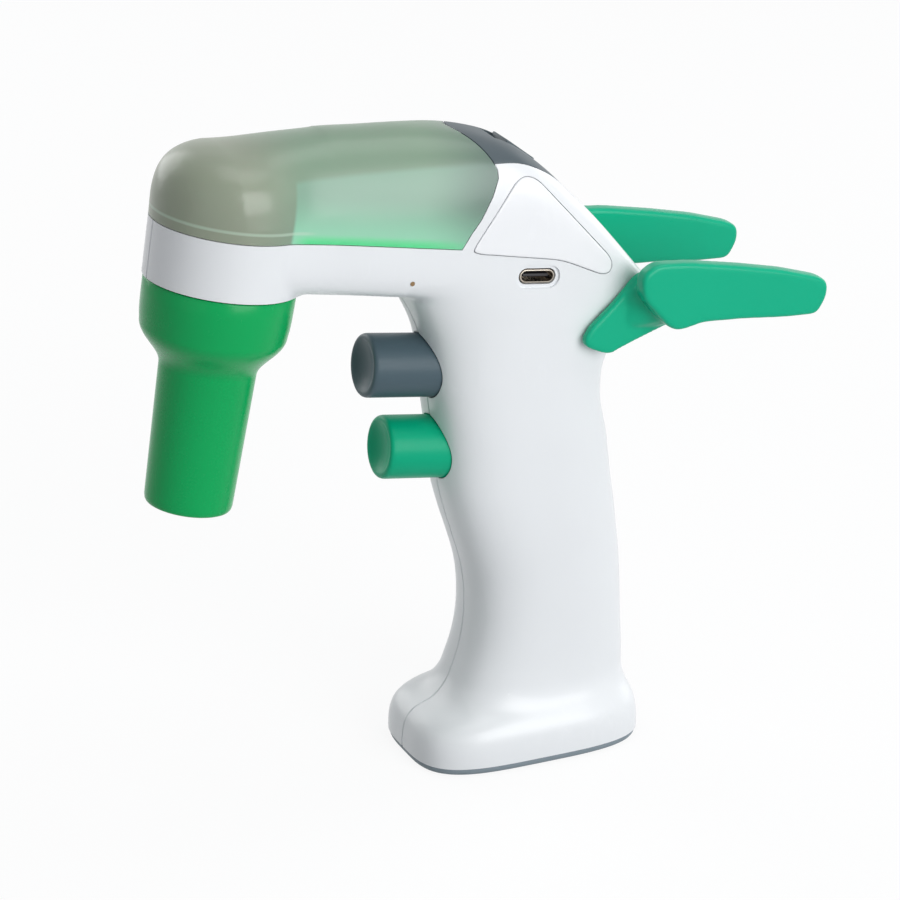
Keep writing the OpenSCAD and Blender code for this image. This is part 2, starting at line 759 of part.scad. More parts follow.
// Round tube along chosen points: each ring lies across the mean direction at its point
function unit(v) = v / norm(v);
function heading(p, i) = unit(p[min(i + 1, len(p) - 1)] - p[max(i - 1, 0)]);
function side_of(d) = unit(cross(d, [0.1, 0.97, 0.2]));
function ring_at(p, i, r, n) = let (d = heading(p, i), a = side_of(d), b = cross(d, a))
    [for (t = steps(n)) p[i] + r * (cos(t) * a + sin(t) * b)];

// Rounded route: two extra points near each corner of the chosen route
function eased(p) = [for (i = [0:len(p) - 1]) each (i == 0 || i == len(p) - 1) ? [p[i]] :
    [0.25 * p[i - 1] + 0.75 * p[i], 0.08 * p[i - 1] + 0.84 * p[i] + 0.08 * p[i + 1],
     0.75 * p[i] + 0.25 * p[i + 1]]];

module hose(route, r, start = []) {
    path = concat(start, eased(route));
    tube_mesh([for (i = [0:len(path) - 1]) ring_at(path, i, r, 8)]);
}

// Quarter bend that turns a hose from straight down at a port to level
port_bend = 1.8;
function bend_from(port, a) = port
    + [port_bend * (1 - cos(a)), 0, -0.3 - port_bend * sin(a)];
function bend_start(port) = concat([port - [0, 0, 0.45]], [for (a = [30:30:60]) bend_from(port, a)]);

function block_point(along, y, rise) = aspirate_front + (block_face + along) * button_axis + [0, y, 0]
    + (block_up + rise) * [sin(button_tilt), 0, cos(button_tilt)];
function nose_point(height) = nose_origin + height * [sin(nose_tilt), 0, cos(nose_tilt)];
suction_port = [-45, 8, motor_z - pump_half_w - 1.4];
pressure_port = [-45, 4.4, motor_z - pump_half_w - 1.4];
suction_route = [
    bend_from(suction_port, 90), [-40, 9.1, 128.6], [-34, 10.2, 128.2], [-20, 10.2, 127],
    [-9, 9.6, 124], [0, 7.6, 116], block_point(8, 6, 4), block_point(8, 6, 0.2)];
pressure_route = [
    bend_from(pressure_port, 90), [-40, 5.7, 128.6], [-35, 6.6, 128.4], [-20, 6.4, 127],
    [-9, 6, 123.6], [-2, 4, 115], block_point(4, 2, 4), block_point(4, 2, 0.2)];
nose_route = [
    block_point(6, -4, 0.2), block_point(6, -4, 3.4), [9, -4, 109.6], [15.6, -4, 112.6], [17, -4, 120],
    [14.6, -5, 128], [9.5, -7, 134.4], [3, -8.6, 140.4], [-4, -8.8, 145.5], [-9, -8.4, 148.2],
    [-14, -7.5, 151.1], [-20, -6.4, 153.4], [-26, -4, 155], [-48, -2.5, 155.6], [-57, -1, 153.4],
    nose_point(socket_top + 12), nose_point(socket_top + 6.1)];
lead_route = [
    [2, -3, cell_z + cell_len + 2.5], [0, -6, 63.8], [0, -9.6, 67], [0, -10.8, 76], [0, -10.8, 100],
    [0, -9, 112], [0, -6.4, 118], [0, -6, 120.9]];

module suction_tube() color([0.8, 0.82, 0.84])
    hose(suction_route, tube_r, bend_start(suction_port));

module pressure_tube() color([0.8, 0.82, 0.84])
    hose(pressure_route, tube_r, bend_start(pressure_port));

module nose_tube() color([0.8, 0.82, 0.84]) hose(nose_route, tube_r);

module battery_leads() {
    color([0.7, 0.1, 0.1]) hose(lead_route, 0.6);
    color([0.1, 0.1, 0.1]) hose([for (p = lead_route) p + [1.8, 0.3, 0]], 0.6);
}

module on_board() {
    translate([usb_centre[0], 0, usb_centre[2]]) rotate([0, usb_tilt, 0]) children();
}

board_top = -usb_h / 2;
board_left = -8.6;
board_front = 39;
board_right = 3.8;

module main_board() {
    color([0.05, 0.35, 0.2]) on_board() {
        translate([-board_front, board_left, board_top - board_t])
            cube([board_front + 7, board_right - board_left, board_t]);
        for (x = [-36, -26, -15]) translate([x, -7.6, board_top - eps]) cube([6, 6, 1.2]);
        translate([-8.2, -3, board_top - eps]) cube([3, 5, 1]);
    }
}

module usb_port() {
    depth = [grip_half_w - 8, grip_half_w - 0.7];
    color("silver") difference() {
        usb_slot(usb_w, usb_h, depth);
        usb_slot(usb_w - 0.6, usb_h - 0.6, [depth[0] + 0.8, depth[1] + 1]);
    }
    color([0.08, 0.08, 0.08]) translate([usb_centre[0], 0, usb_centre[2]]) rotate([0, usb_tilt, 0])
        translate([-3.3, -depth[1] + 0.9, -0.35]) cube([6.6, depth[1] - depth[0] - 1, 0.7]);
}

module indicator_lens() {
    color([0.55, 0.45, 0.3]) across(-32.9, 127.7) translate([0, 0, 11.4])
        cylinder(r = lens_r, h = grip_half_w - 11.4 - 0.3, $fn = 20);
}

left_shell();
right_shell();
top_cover();
light_guide();
selector_trim();
speed_slider();
speed_switch();
left_badge();
right_badge();
rear_stand();
base_plate();
base_screws();
shell_screws();
nose_cone();
pipette_holder();
filter_capsule();
nose_socket();
nose_seal();
aspirate_button();
dispense_button();
aspirate_stem();
dispense_stem();
aspirate_spring();
dispense_spring();
aspirate_guide();
dispense_guide();
aspirate_switch();
dispense_switch();
valve_block();
pump_motor();
pump_shaft();
pump_head();
motor_saddle();
battery_cell();
battery_cradle();
battery_contacts();
battery_leads();
main_board();
usb_port();
indicator_lens();
suction_tube();
pressure_tube();
nose_tube();
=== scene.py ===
"""Looks of a hand-held pipette controller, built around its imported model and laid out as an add-on."""

import math

import bmesh
import bpy
from bpy.props import FloatProperty, FloatVectorProperty, IntProperty, PointerProperty
from mathutils import Matrix, Vector


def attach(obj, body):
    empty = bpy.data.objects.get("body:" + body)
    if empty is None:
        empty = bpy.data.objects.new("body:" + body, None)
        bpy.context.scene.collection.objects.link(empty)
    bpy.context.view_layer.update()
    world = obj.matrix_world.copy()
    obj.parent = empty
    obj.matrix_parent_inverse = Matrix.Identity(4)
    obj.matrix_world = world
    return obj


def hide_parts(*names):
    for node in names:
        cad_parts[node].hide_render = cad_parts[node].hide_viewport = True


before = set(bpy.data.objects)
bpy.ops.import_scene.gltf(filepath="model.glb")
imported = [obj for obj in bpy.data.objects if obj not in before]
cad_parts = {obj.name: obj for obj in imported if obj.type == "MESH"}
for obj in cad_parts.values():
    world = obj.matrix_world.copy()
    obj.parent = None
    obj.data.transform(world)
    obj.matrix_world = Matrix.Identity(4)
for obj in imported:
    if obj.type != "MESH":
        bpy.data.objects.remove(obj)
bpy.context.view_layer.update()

bl_info = {
    "name": "Pipette Controller",
    "version": (1, 0, 0),
    "blender": (4, 5, 0),
    "location": "3D View > Sidebar > Pipette",
    "description": "Builds the housing, cover, nosepiece, triggers and stand of a pipette controller",
    "category": "Add Mesh",
}

MM = 0.001

# ---- Sections of the housing, in millimetres ----

# Grip and foot: height, reach to the front, reach to the back, half width, squareness
HANDLE_ROWS = (
    (-1.5, 30, 30, 20, 3.6), (2, 30, 30, 20, 3.6), (6.9, 29.7, 29.9, 19.8, 3.6),
    (10, 28.6, 29.4, 19.2, 3.5), (12.3, 26.1, 28.5, 17.9, 3.3), (13.9, 21.9, 27.9, 16.7, 3.1),
    (16.2, 19.4, 27.5, 15.9, 2.9), (22.6, 16.2, 27.4, 15.2, 2.8), (30.6, 14, 27.1, 15, 2.7),
    (39.5, 13.3, 26.7, 15, 2.7), (48.2, 14.2, 26.2, 15, 2.7), (55.6, 16.2, 25.3, 15, 2.8),
    (62.4, 18.3, 24.4, 15, 2.9), (70, 20.2, 23.2, 15, 3), (80, 21.2, 22, 15, 3),
    (91.4, 22.7, 20.1, 15, 3), (100, 23.7, 21.4, 15, 3), (106, 24.4, 24.8, 15, 3),
    (110, 25.2, 28.2, 15, 3.1), (114.5, 27, 32, 15, 3.2), (118.5, 29, 30.2, 15, 3.3),
    (121, 30.4, 28.2, 15, 3.4),
)
# Head: place along X, underside, height of the widest level, crest, extra half width, squareness above
HEAD_ROWS = (
    (-76, 131, 144, 162, 2.2, 2.5), (-69, 129, 142.7, 162.5, 1.9, 2.55),
    (-63, 127.8, 141.6, 162.8, 1.1, 2.5), (-57, 126.7, 140.5, 163, 0.4, 2.4),
    (-49, 125.3, 139, 163, 0, 2.25), (-39, 123.5, 137.2, 162.3, 0, 2.25),
    (-29, 121.4, 135.4, 161.6, 0, 2.35), (-19, 117, 134, 160.2, 0, 2.8),
    (-11, 112, 133, 158, 0, 3.4), (-4, 109, 132, 155, 0, 4.2), (3.8, 107, 130, 149, 0, 4.5),
    (9.1, 107, 127.6, 143.6, 0, 4.5), (15.2, 107.5, 124, 137.2, 0, 4.5),
    (23, 108.5, 118.5, 127.9, 0, 4.2), (28.9, 110, 114.5, 120.5, 0, 3.6),
    (32.6, 111.6, 113.4, 115.6, -0.9, 3),
)
BELLY_SQUARENESS = 4.6
# How many times thicker the wall is at the crest
CREST_WALL = 1.15
HALF_WIDTH = 15
RING_POINTS = 96
ROW_STEP = 1.5

# Round front of the head about the nose axis: radius and height over the collar's lower edge
DOME_OUTLINE = (
    (0, -3), (18.1, -3), (18.1, 0), (18.4, 13.9), (18.6, 19), (18.3, 22.4), (17.6, 25), (16.2, 27.4),
    (13.6, 29.6), (10, 31.2), (5, 32.3), (0, 32.7),
)
NOSE_ORIGIN = (-74.5, 0, 129.8)
NOSE_TILT = math.radians(10)
COLLAR_HEIGHT = 13.9

COVER_SIDE = (
    (-100, 175), (-100, 132), (-22.5, 132), (-20.3, 134.9), (-18.3, 137.8), (-15.8, 140.8),
    (-12.7, 146), (-11, 149.9), (-10.8, 153), (-8, 175),
)
BADGE_CORNERS = (
    (-5.9, 149.6), (-1.6, 149.2), (18.6, 126.2), (17, 122.6), (5, 128.4), (-17.6, 133), (-17.4, 134.4),
)
TRIM_HALF_WIDTH = 12.2
TRIM_START = -11.6
TRIM_LENGTH = 23.6
SEAM_GAP = 0.2
CREST_SEAM = 0.5

TRIGGER_FRONTS = {"aspirate": (-43, 0, 104.2), "dispense": (-39, 0, 82.9)}
TRIGGER_TILT = math.radians(98)
TRIGGER_RADIUS = 7.65
TRIGGER_FACE = 3.5

SLIDER_CENTRE = (-0.5, 0, 152.3)
SLIDER_SLOPE = math.radians(38)

USB_CENTRE = (-1.1, 0, 125)
USB_TILT = math.radians(7)
LENS_AT = (-32.9, 127.7)

ARM_OUTLINE = (
    (21.4, 124.8), (25.3, 127.3), (34.6, 126.4), (48, 123.8), (59, 121.3), (69, 118.2), (71.3, 116.6),
    (71.2, 113), (68.6, 108.7), (59.4, 109.2), (48.5, 110.4), (37.7, 111.1), (34.5, 110.4),
    (31.1, 109.9), (28.4, 111.3), (21.6, 119.3),
)
FLANGE_OUTLINE = (
    (24.5, 123.4), (17.3, 116), (14.9, 113.9), (11.6, 111.1), (9.8, 108.3), (10.6, 106.4),
    (16.5, 103.8), (19.1, 105), (24.9, 107), (34.6, 110.2), (36.4, 114), (31, 121),
)
WEB_AT_FLANGE = ((20.5, 118.5), (25.5, 121.8), (33, 118.5), (34.8, 112), (28.5, 108.8), (19.5, 110))
WEB_AT_ARM = ((22.6, 122.4), (27, 125.4), (34, 121), (35.2, 112), (31.4, 110.8), (26.8, 114))
BRIDGE_OUTLINE = (
    (33.6, 116.6), (35.6, 115.6), (36.2, 112.6), (34.6, 110.2), (33.4, 109.6), (32.9, 110.6),
    (33.3, 112.8),
)
PEGS = ((22, 112.5), (14.5, 109.5))
# How far out the stand's flanges start, and the middles of its arms lie
FLANGE_SEAT = 15.3
ARM_REACH = 22.7

SHELL_SCREWS = ((18.5, 30), (-8.5, 18), (15.5, 66), (10, 117), (-54.5, 131.5))
BASE_SCREWS = ((-15, 10.5), (-15, -10.5), (20, 10.5), (20, -10.5))
POST_RADIUS = 2.6
HEAD_RADIUS = 2.6
SCREW_BORE = 1.37

# The fine line between the shells: half its gap, and how far and how deep each rim is eased
PARTING_GAP = 0.05
PARTING_REACH = 0.42
PARTING_DEPTH = 0.3

CAMERA_AT = (-0.3375, -0.71985, 0.3969)
CAMERA_AIM = (-0.01693, 0.00015, 0.0785)
# Each lamp's name, place and width, in metres
LAMPS = (
    ("key", (0.3, -1.05, 0.45), 0.8), ("fill", (-0.9, -0.6, 0.35), 0.8),
    ("top", (0.2, -0.1, 1.2), 0.8), ("rim", (0.9, 0.3, 0.4), 0.7), ("back", (-0.4, 1.0, 0.5), 0.8),
)
FLOOR_REACH = 6000
FLOOR_DROP = 0.1
BACKDROP_GLOW = 1.12
BACKDROP_SHARE = 0.8

# ---- Places and outlines ----


def at(*point):
    """A place given in millimetres, as a move in metres."""
    return Matrix.Translation(Vector(point) * MM)


IN_NOSE = at(*NOSE_ORIGIN) @ Matrix.Rotation(NOSE_TILT, 4, "Y")
ON_SLIDER = at(*SLIDER_CENTRE) @ Matrix.Rotation(SLIDER_SLOPE, 4, "Y")
# Turns a flat outline in X and Y so that its Y becomes Z, and its thickness runs along -Y
UPRIGHT = Matrix.Rotation(math.pi / 2, 4, "X")
# The charging inlet: its width along X and its depth along -Y, out of the left side
IN_USB = at(*USB_CENTRE) @ Matrix.Rotation(USB_TILT, 4, "Y") @ UPRIGHT


def along_trigger(name):
    """The frame of a trigger: its face at the origin and its barrel along +Z."""
    return at(*TRIGGER_FRONTS[name]) @ Matrix.Rotation(TRIGGER_TILT, 4, "Y")


def rear_edge(y):
    """How far back the cover reaches at a distance from the middle."""
    return -18.4 + 6.6 * (abs(y) / 12) ** 1.6


def area_of(points):
    """Signed area of a flat outline, positive when it runs anticlockwise."""
    return sum(a[0] * b[1] - b[0] * a[1] for a, b in zip(points, points[1:] + points[:1])) / 2


def grown(points, gap):
    """The outline with every side moved outwards by the gap."""
    points = [Vector(p) for p in points]
    turn = 1 if area_of(points) > 0 else -1
    made = []
    for i, here in enumerate(points):
        before = (here - points[i - 1]).normalized()
        after = (points[(i + 1) % len(points)] - here).normalized()
        out = (Vector((before.y, -before.x)) + Vector((after.y, -after.x))) * turn
        # the least of 0.3 keeps a sharp corner from running far out
        reach = gap / max(0.3, out.length / 2)
        made.append(tuple(here + out.normalized() * reach))
    return made


def softened(points, reach, steps=6):
    """The outline with each corner rounded, starting at most the reach away from it."""
    points = [Vector(p) for p in points]
    made = []
    for i, here in enumerate(points):
        before, after = points[i - 1] - here, points[(i + 1) % len(points)] - here
        start = here + before.normalized() * min(reach, before.length * 0.49)
        end = here + after.normalized() * min(reach, after.length * 0.49)
        for step in range(steps + 1):
            t = step / steps
            made.append(tuple(start * (1 - t) ** 2 + here * 2 * t * (1 - t) + end * t * t))
    return made


def trim_plan():
    """Plan of the crest strip, which narrows to the back."""
    front = [(rear_edge(y) + CREST_SEAM, y * TRIM_HALF_WIDTH / 12) for y in range(12, -13, -1)]
    side = []
    for part in range(1, 20):
        t = 0.05 * part
        side.append((TRIM_START + TRIM_LENGTH * t, -TRIM_HALF_WIDTH * math.sqrt(1 - t ** 3)))
    other = [(x, -y) for x, y in reversed(side)]
    return front + side + [(12, 0)] + other


def cover_plan():
    """Plan of the cover, which ends in a curved rear edge."""
    return [(-100, -20), *[(rear_edge(y), y) for y in range(-20, 21)], (-100, 20)]


def power(c, squareness):
    """One coordinate of a squared oval."""
    return math.copysign(abs(c) ** (2 / squareness), c)


def eased(rows):
    """The rows with others between them, on a smooth curve through the given ones."""

    def slope(i, k):
        if i in (0, len(rows) - 1):
            a, b = max(i - 1, 0), min(i + 1, len(rows) - 1)
            return (rows[b][k] - rows[a][k]) / (rows[b][0] - rows[a][0])
        back, ahead = rows[i][0] - rows[i - 1][0], rows[i + 1][0] - rows[i][0]
        rise_back = (rows[i][k] - rows[i - 1][k]) / back
        rise_ahead = (rows[i + 1][k] - rows[i][k]) / ahead
        return (rise_back * ahead + rise_ahead * back) / (back + ahead)

    made = [tuple(rows[0])]
    for i in range(len(rows) - 1):
        here, there = rows[i], rows[i + 1]
        span = there[0] - here[0]
        parts = max(1, math.ceil(span / ROW_STEP))
        for part in range(1, parts + 1):
            t = part / parts
            row = [here[0] + t * span]
            for k in range(1, len(here)):
                row.append(
                    (1 + 2 * t) * (1 - t) ** 2 * here[k] + t * (1 - t) ** 2 * span * slope(i, k)
                    + t * t * (3 - 2 * t) * there[k] + t * t * (t - 1) * span * slope(i + 1, k)
                )
            made.append(tuple(row))
    return made


def turns(count):
    """Evenly spaced angles of a full turn."""
    return [2 * math.pi * i / count for i in range(count)]


def level_ring(row, inset):
    """A level section of the grip or foot."""
    z, front, back, half, squareness = row
    front, back, half = front - inset, back - inset, half - inset
    return [
        (
            (back - front) / 2 + (front + back) / 2 * power(math.cos(a), squareness),
            half * power(math.sin(a), squareness),
            z,
        )
        for a in turns(RING_POINTS)
    ]


def upright_ring(row, inset):
    """An upright section across the head."""
    x, low, widest, crest, extra, squareness = row
    half = HALF_WIDTH + extra - inset
    ring = []
    for a in turns(RING_POINTS):
        above = math.sin(a) > 0
        n = squareness if above else BELLY_SQUARENESS
        height = crest - widest - inset * CREST_WALL if above else widest - low - inset
        ring.append((x, half * power(math.cos(a), n), widest + height * power(math.sin(a), n)))
    return ring


# ---- Meshes ----


def mesh_of(bm, name, place=None):
    """Turns a bmesh drawn in millimetres into a mesh in metres, with its faces outwards."""
    bmesh.ops.remove_doubles(bm, verts=bm.verts, dist=1e-5)
    bmesh.ops.recalc_face_normals(bm, faces=bm.faces)
    bmesh.ops.scale(bm, vec=(MM, MM, MM), verts=bm.verts)
    if place is not None:
        bmesh.ops.transform(bm, matrix=place, verts=bm.verts)
    mesh = bpy.data.meshes.new(name)
    bm.to_mesh(mesh)
    bm.free()
    return mesh


def loft(name, rings):
    """A closed skin over rings of points."""
    bm = bmesh.new()
    last = None
    for i, ring in enumerate(rings):
        capped = i in (0, len(rings) - 1)
        made = bmesh.ops.create_circle(bm, cap_ends=capped, segments=len(ring), radius=1)
        for vert, point in zip(made["verts"], ring):
            vert.co = point
        edges = list(dict.fromkeys(e for vert in made["verts"] for e in vert.link_edges))
        if last:
            bmesh.ops.bridge_loops(bm, edges=last + edges)
        last = edges
    return mesh_of(bm, name)


def turned(name, outline, steps, place, closed=False):
    """An outline of radii and heights, spun about Z."""
    bm = bmesh.new()
    verts = [bm.verts.new((r, 0, z)) for r, z in outline]
    pairs = list(zip(verts, verts[1:] + verts[:1])) if closed else list(zip(verts, verts[1:]))
    edges = [bm.edges.new(pair) for pair in pairs]
    bmesh.ops.spin(
        bm, geom=verts + edges, cent=(0, 0, 0), axis=(0, 0, 1), angle=2 * math.pi, steps=steps,
        use_merge=True, use_duplicate=False,
    )
    return mesh_of(bm, name, place)


def rounded(bm, edges, width):
    """Rounds edges of a bmesh."""
    bmesh.ops.bevel(
        bm, geom=list(edges), offset=width, offset_type="OFFSET", segments=3, profile=0.5,
        affect="EDGES", clamp_overlap=True, material=-1,
    )


def prism(name, outline, low, high, place=None, edge=0.0):
    """A flat outline made solid between two levels, with its rims rounded if an edge is given."""
    bm = bmesh.new()
    face = bm.faces.new([bm.verts.new((x, y, low)) for x, y in outline])
    made = bmesh.ops.extrude_face_region(bm, geom=[face])
    top = [v for v in made["geom"] if isinstance(v, bmesh.types.BMVert)]
    bmesh.ops.translate(bm, vec=(0, 0, high - low), verts=top)
    if edge:
        rims = [e for e in bm.edges if abs(e.verts[0].co.z - e.verts[1].co.z) < 1e-6]
        bmesh.ops.recalc_face_normals(bm, faces=bm.faces)
        rounded(bm, rims, edge)
    return mesh_of(bm, name, place)


def rod(name, radius, low, high, place, steps):
    """A round bar along Z between two levels."""
    return turned(name, [(0, low), (radius, low), (radius, high), (0, high)], steps, place)


def block(name, low, high, place=None, edge=0.0):
    """A box between two corners, with its edges rounded if an edge is given."""
    bm = bmesh.new()
    bmesh.ops.create_cube(bm, size=1)
    bmesh.ops.scale(bm, vec=[b - a for a, b in zip(low, high)], verts=bm.verts)
    bmesh.ops.translate(bm, vec=[(a + b) / 2 for a, b in zip(low, high)], verts=bm.verts)
    if edge:
        rounded(bm, bm.edges, edge)
    return mesh_of(bm, name, place)


def slot_outline(width, height):
    """A flat slot with round ends, centred on the origin."""
    reach, radius = (width - height) / 2, height / 2
    angles = [math.pi * (i / 12 - 0.5) for i in range(13)]
    right = [(reach + radius * math.cos(a), radius * math.sin(a)) for a in angles]
    return right + [(-x, -y) for x, y in right]


def joined(name, *meshes):
    """One mesh that holds all the given ones, which are then removed."""
    bm = bmesh.new()
    for mesh in meshes:
        bm.from_mesh(mesh)
        bpy.data.meshes.remove(mesh)
    made = bpy.data.meshes.new(name)
    bm.to_mesh(made)
    bm.free()
    return made


def evaluated(mesh, prepare):
    """The mesh after the modifiers that prepare() puts on an object that holds it."""
    holder = bpy.data.objects.new("holder", mesh)
    bpy.context.scene.collection.objects.link(holder)
    helpers = prepare(holder)
    graph = bpy.context.evaluated_depsgraph_get()
    made = bpy.data.meshes.new_from_object(holder.evaluated_get(graph))
    for helper in (holder, *helpers):
        bpy.data.objects.remove(helper)
    return made


def carved(mesh, *cuts):
    """The mesh after booleans in turn: pairs of an operation and the mesh it uses."""

    def prepare(holder):
        helpers = []
        for i, (operation, tool) in enumerate(cuts):
            helper = bpy.data.objects.new(f"tool{i}", tool)
            bpy.context.scene.collection.objects.link(helper)
            helpers.append(helper)
            modifier = holder.modifiers.new(f"cut{i}", "BOOLEAN")
            modifier.operation = operation
            modifier.solver = "MANIFOLD"
            modifier.object = helper
        return helpers

    made = evaluated(mesh, prepare)
    if len(made.polygons) < 4:
        raise RuntimeError(f"carving {mesh.name} left nothing")
    return made


def evened(mesh, rounds, inside=None):
    """Evens out a mesh, or only those of its points, in millimetres, that pass the test."""
    bm = bmesh.new()
    bm.from_mesh(mesh)
    chosen = [v for v in bm.verts if inside is None or inside(v.co / MM)]
    for _ in range(rounds):
        bmesh.ops.smooth_vert(
            bm, verts=chosen, factor=0.5, use_axis_x=True, use_axis_y=True, use_axis_z=True
        )
    bm.to_mesh(mesh)
    bm.free()
    return mesh


def blended(mesh, voxel, rounds):
    """One smooth closed skin over all the forms in the mesh: a fine grid of faces, then evened out."""

    def prepare(holder):
        modifier = holder.modifiers.new("voxels", "REMESH")
        modifier.mode = "VOXEL"
        modifier.voxel_size = voxel
        return ()

    return evened(evaluated(mesh, prepare), rounds)


def finished(mesh, name, finish, body, replaces=(), crease=32):
    """Makes the mesh a piece: smooth shading with sharp creases, a finish and a body."""
    mesh.name = name
    for polygon in mesh.polygons:
        polygon.material_index = 0
    mesh.shade_smooth()
    mesh.set_sharp_from_angle(angle=math.radians(crease))
    mesh.materials.clear()
    mesh.materials.append(finish)
    piece = bpy.data.objects.new(name, mesh)
    bpy.context.scene.collection.objects.link(piece)
    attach(piece, body)
    if replaces:
        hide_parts(*replaces)


# ---- Shared forms of the housing ----


def head_loft(inset):
    """The head on its own, moved inwards by the inset."""
    rows = eased(HEAD_ROWS)
    rows[-1] = (rows[-1][0] - inset, *rows[-1][1:3], rows[-1][3] + inset * 0.6, *rows[-1][4:])
    return loft("head", [upright_ring(row, inset) for row in rows])


def dome(inset):
    """The round front of the head with its collar, moved inwards by the inset."""
    outline = eased_outline(DOME_OUTLINE[3:])
    outline = [*DOME_OUTLINE[:3], *outline]
    if inset:
        outline = [(max(0, r - inset), z - inset if z > 20 else z) for r, z in outline]
    return turned("dome", outline, 128, IN_NOSE)


def eased_outline(points, steps=4):
    """The outline with extra points on a smooth curve through the given ones."""
    points = [Vector(p) for p in points]
    made = [tuple(points[0])]
    for i in range(len(points) - 1):
        a, b = points[i], points[i + 1]
        before = points[i - 1] if i else a * 2 - b
        after = points[i + 2] if i + 2 < len(points) else b * 2 - a
        for step in range(1, steps + 1):
            t = step / steps
            made.append(tuple(
                ((b - before) * 0.5) * t * (1 - t) ** 2 + a * (1 + 2 * t) * (1 - t) ** 2
                + b * t * t * (3 - 2 * t) + ((after - a) * 0.5) * t * t * (t - 1)
            ))
    return made


def outer_form(sizes):
    """The smooth outer skin of foot, grip, head and collar together."""
    held = bpy.data.meshes.get("outer_form")
    if held:
        return held
    handle = loft("handle", [level_ring(row, 0) for row in eased(HANDLE_ROWS)])
    forms = joined("forms", handle, head_loft(0), dome(0))
    skin = blended(forms, sizes.grain, sizes.blend_rounds)
    # the grip runs softly into the head, and the collar's crease fades out up the cover
    evened(skin, 30, lambda p: -34 < p.x < -16 and 98 < p.z < 126)
    evened(skin, 60, lambda p: -74 < p.x < -50 and p.z > 147)
    skin.name = "outer_form"
    return skin


def inner_form(sizes):
    """The space inside the housing's wall."""
    held = bpy.data.meshes.get("inner_form")
    if held:
        return held
    wall = sizes.wall / MM
    handle = [level_ring(row, wall) for row in eased(HANDLE_ROWS)]
    forms = joined("hollow", loft("handle", handle), head_loft(wall), dome(wall))
    hollow = blended(forms, 1.2 * MM, 2)
    hollow.name = "inner_form"
    return hollow


def cover_room(gap):
    """The room that the cover takes: over its seam and in front of its rear edge."""
    side = prism("side", grown(COVER_SIDE, gap), -40, 40, UPRIGHT)
    plan = prism("plan", grown(cover_plan(), gap), 100, 190)
    above = block("above", (-200, -100, COLLAR_HEIGHT - gap), (200, 100, 200), IN_NOSE)
    return carved(side, ("INTERSECT", plan), ("INTERSECT", above))


def trim_room(gap):
    """The room that the crest strip takes."""
    return prism("trim", grown(trim_plan(), gap), 136, 176)


def badge_room(side, gap):
    """The room that a side badge takes, from the middle plane outwards."""
    outline = grown(softened(BADGE_CORNERS, 3.4), gap)
    low, high = (2, 40) if side < 0 else (-40, -2)
    return prism("badge", outline, low, high, UPRIGHT)


# ---- Finishes ----


class Level:
    """A value in a node tree that can be used in ordinary arithmetic."""

    def __init__(self, graph, socket):
        self.graph, self.socket = graph, socket

    def _maths(self, operation, *values):
        return self.graph.node("ShaderNodeMath", {"operation": operation}, dict(enumerate(values)))

    def __add__(self, other):
        return self._maths("ADD", self, other)

    def __radd__(self, other):
        return self._maths("ADD", other, self)

    def __sub__(self, other):
        return self._maths("SUBTRACT", self, other)

    def __rsub__(self, other):
        return self._maths("SUBTRACT", other, self)

    def __mul__(self, other):
        return self._maths("MULTIPLY", self, other)

    def __rmul__(self, other):
        return self._maths("MULTIPLY", other, self)

    def __abs__(self):
        return self._maths("ABSOLUTE", self)

    def most(self, other):
        return self._maths("MAXIMUM", self, other)

    def between(self, low, high):
        """0 below low and 1 above high, with a soft rise between them."""
        return self.graph.node(
            "ShaderNodeMapRange", {"interpolation_type": "SMOOTHSTEP", "clamp": True},
            {"Value": self, "From Min": low, "From Max": high},
        )


class Graph:
    """A node tree whose nodes are all made by one method."""

    def __init__(self, tree):
        self.tree = tree

    def node(self, kind, settings, sockets, output=0):
        """Makes one node: its settings are set first, then the values or links of its sockets."""
        made = self.tree.nodes.new(kind)
        for name, value in settings.items():
            if name == "stops":
                ramp = made.color_ramp
                while len(ramp.elements) < len(value):
                    ramp.elements.new(1)
                for element, (position, colour) in zip(ramp.elements, value):
                    element.position, element.color = position, (*colour, 1)
            else:
                setattr(made, name, value)
        for key, value in sockets.items():
            socket = made.inputs[key]
            if isinstance(value, Level):
                self.tree.links.new(value.socket, socket)
            elif socket.type == "RGBA" and len(value) == 3:
                socket.default_value = (*value, 1)
            else:
                socket.default_value = value
        return Level(self, made.outputs[output])

    def all_of(self, level):
        """Every output of the node that a level comes from."""
        return [Level(self, output) for output in level.socket.node.outputs]

    def seen(self):
        """1 for the rays of the camera, of gloss and of clear materials, which see the backdrop."""
        path = self.node("ShaderNodeLightPath", {}, {}, "Is Camera Ray")
        rays = {output.socket.name: output for output in self.all_of(path)}
        return path.most(rays["Is Glossy Ray"]).most(rays["Is Transmission Ray"])


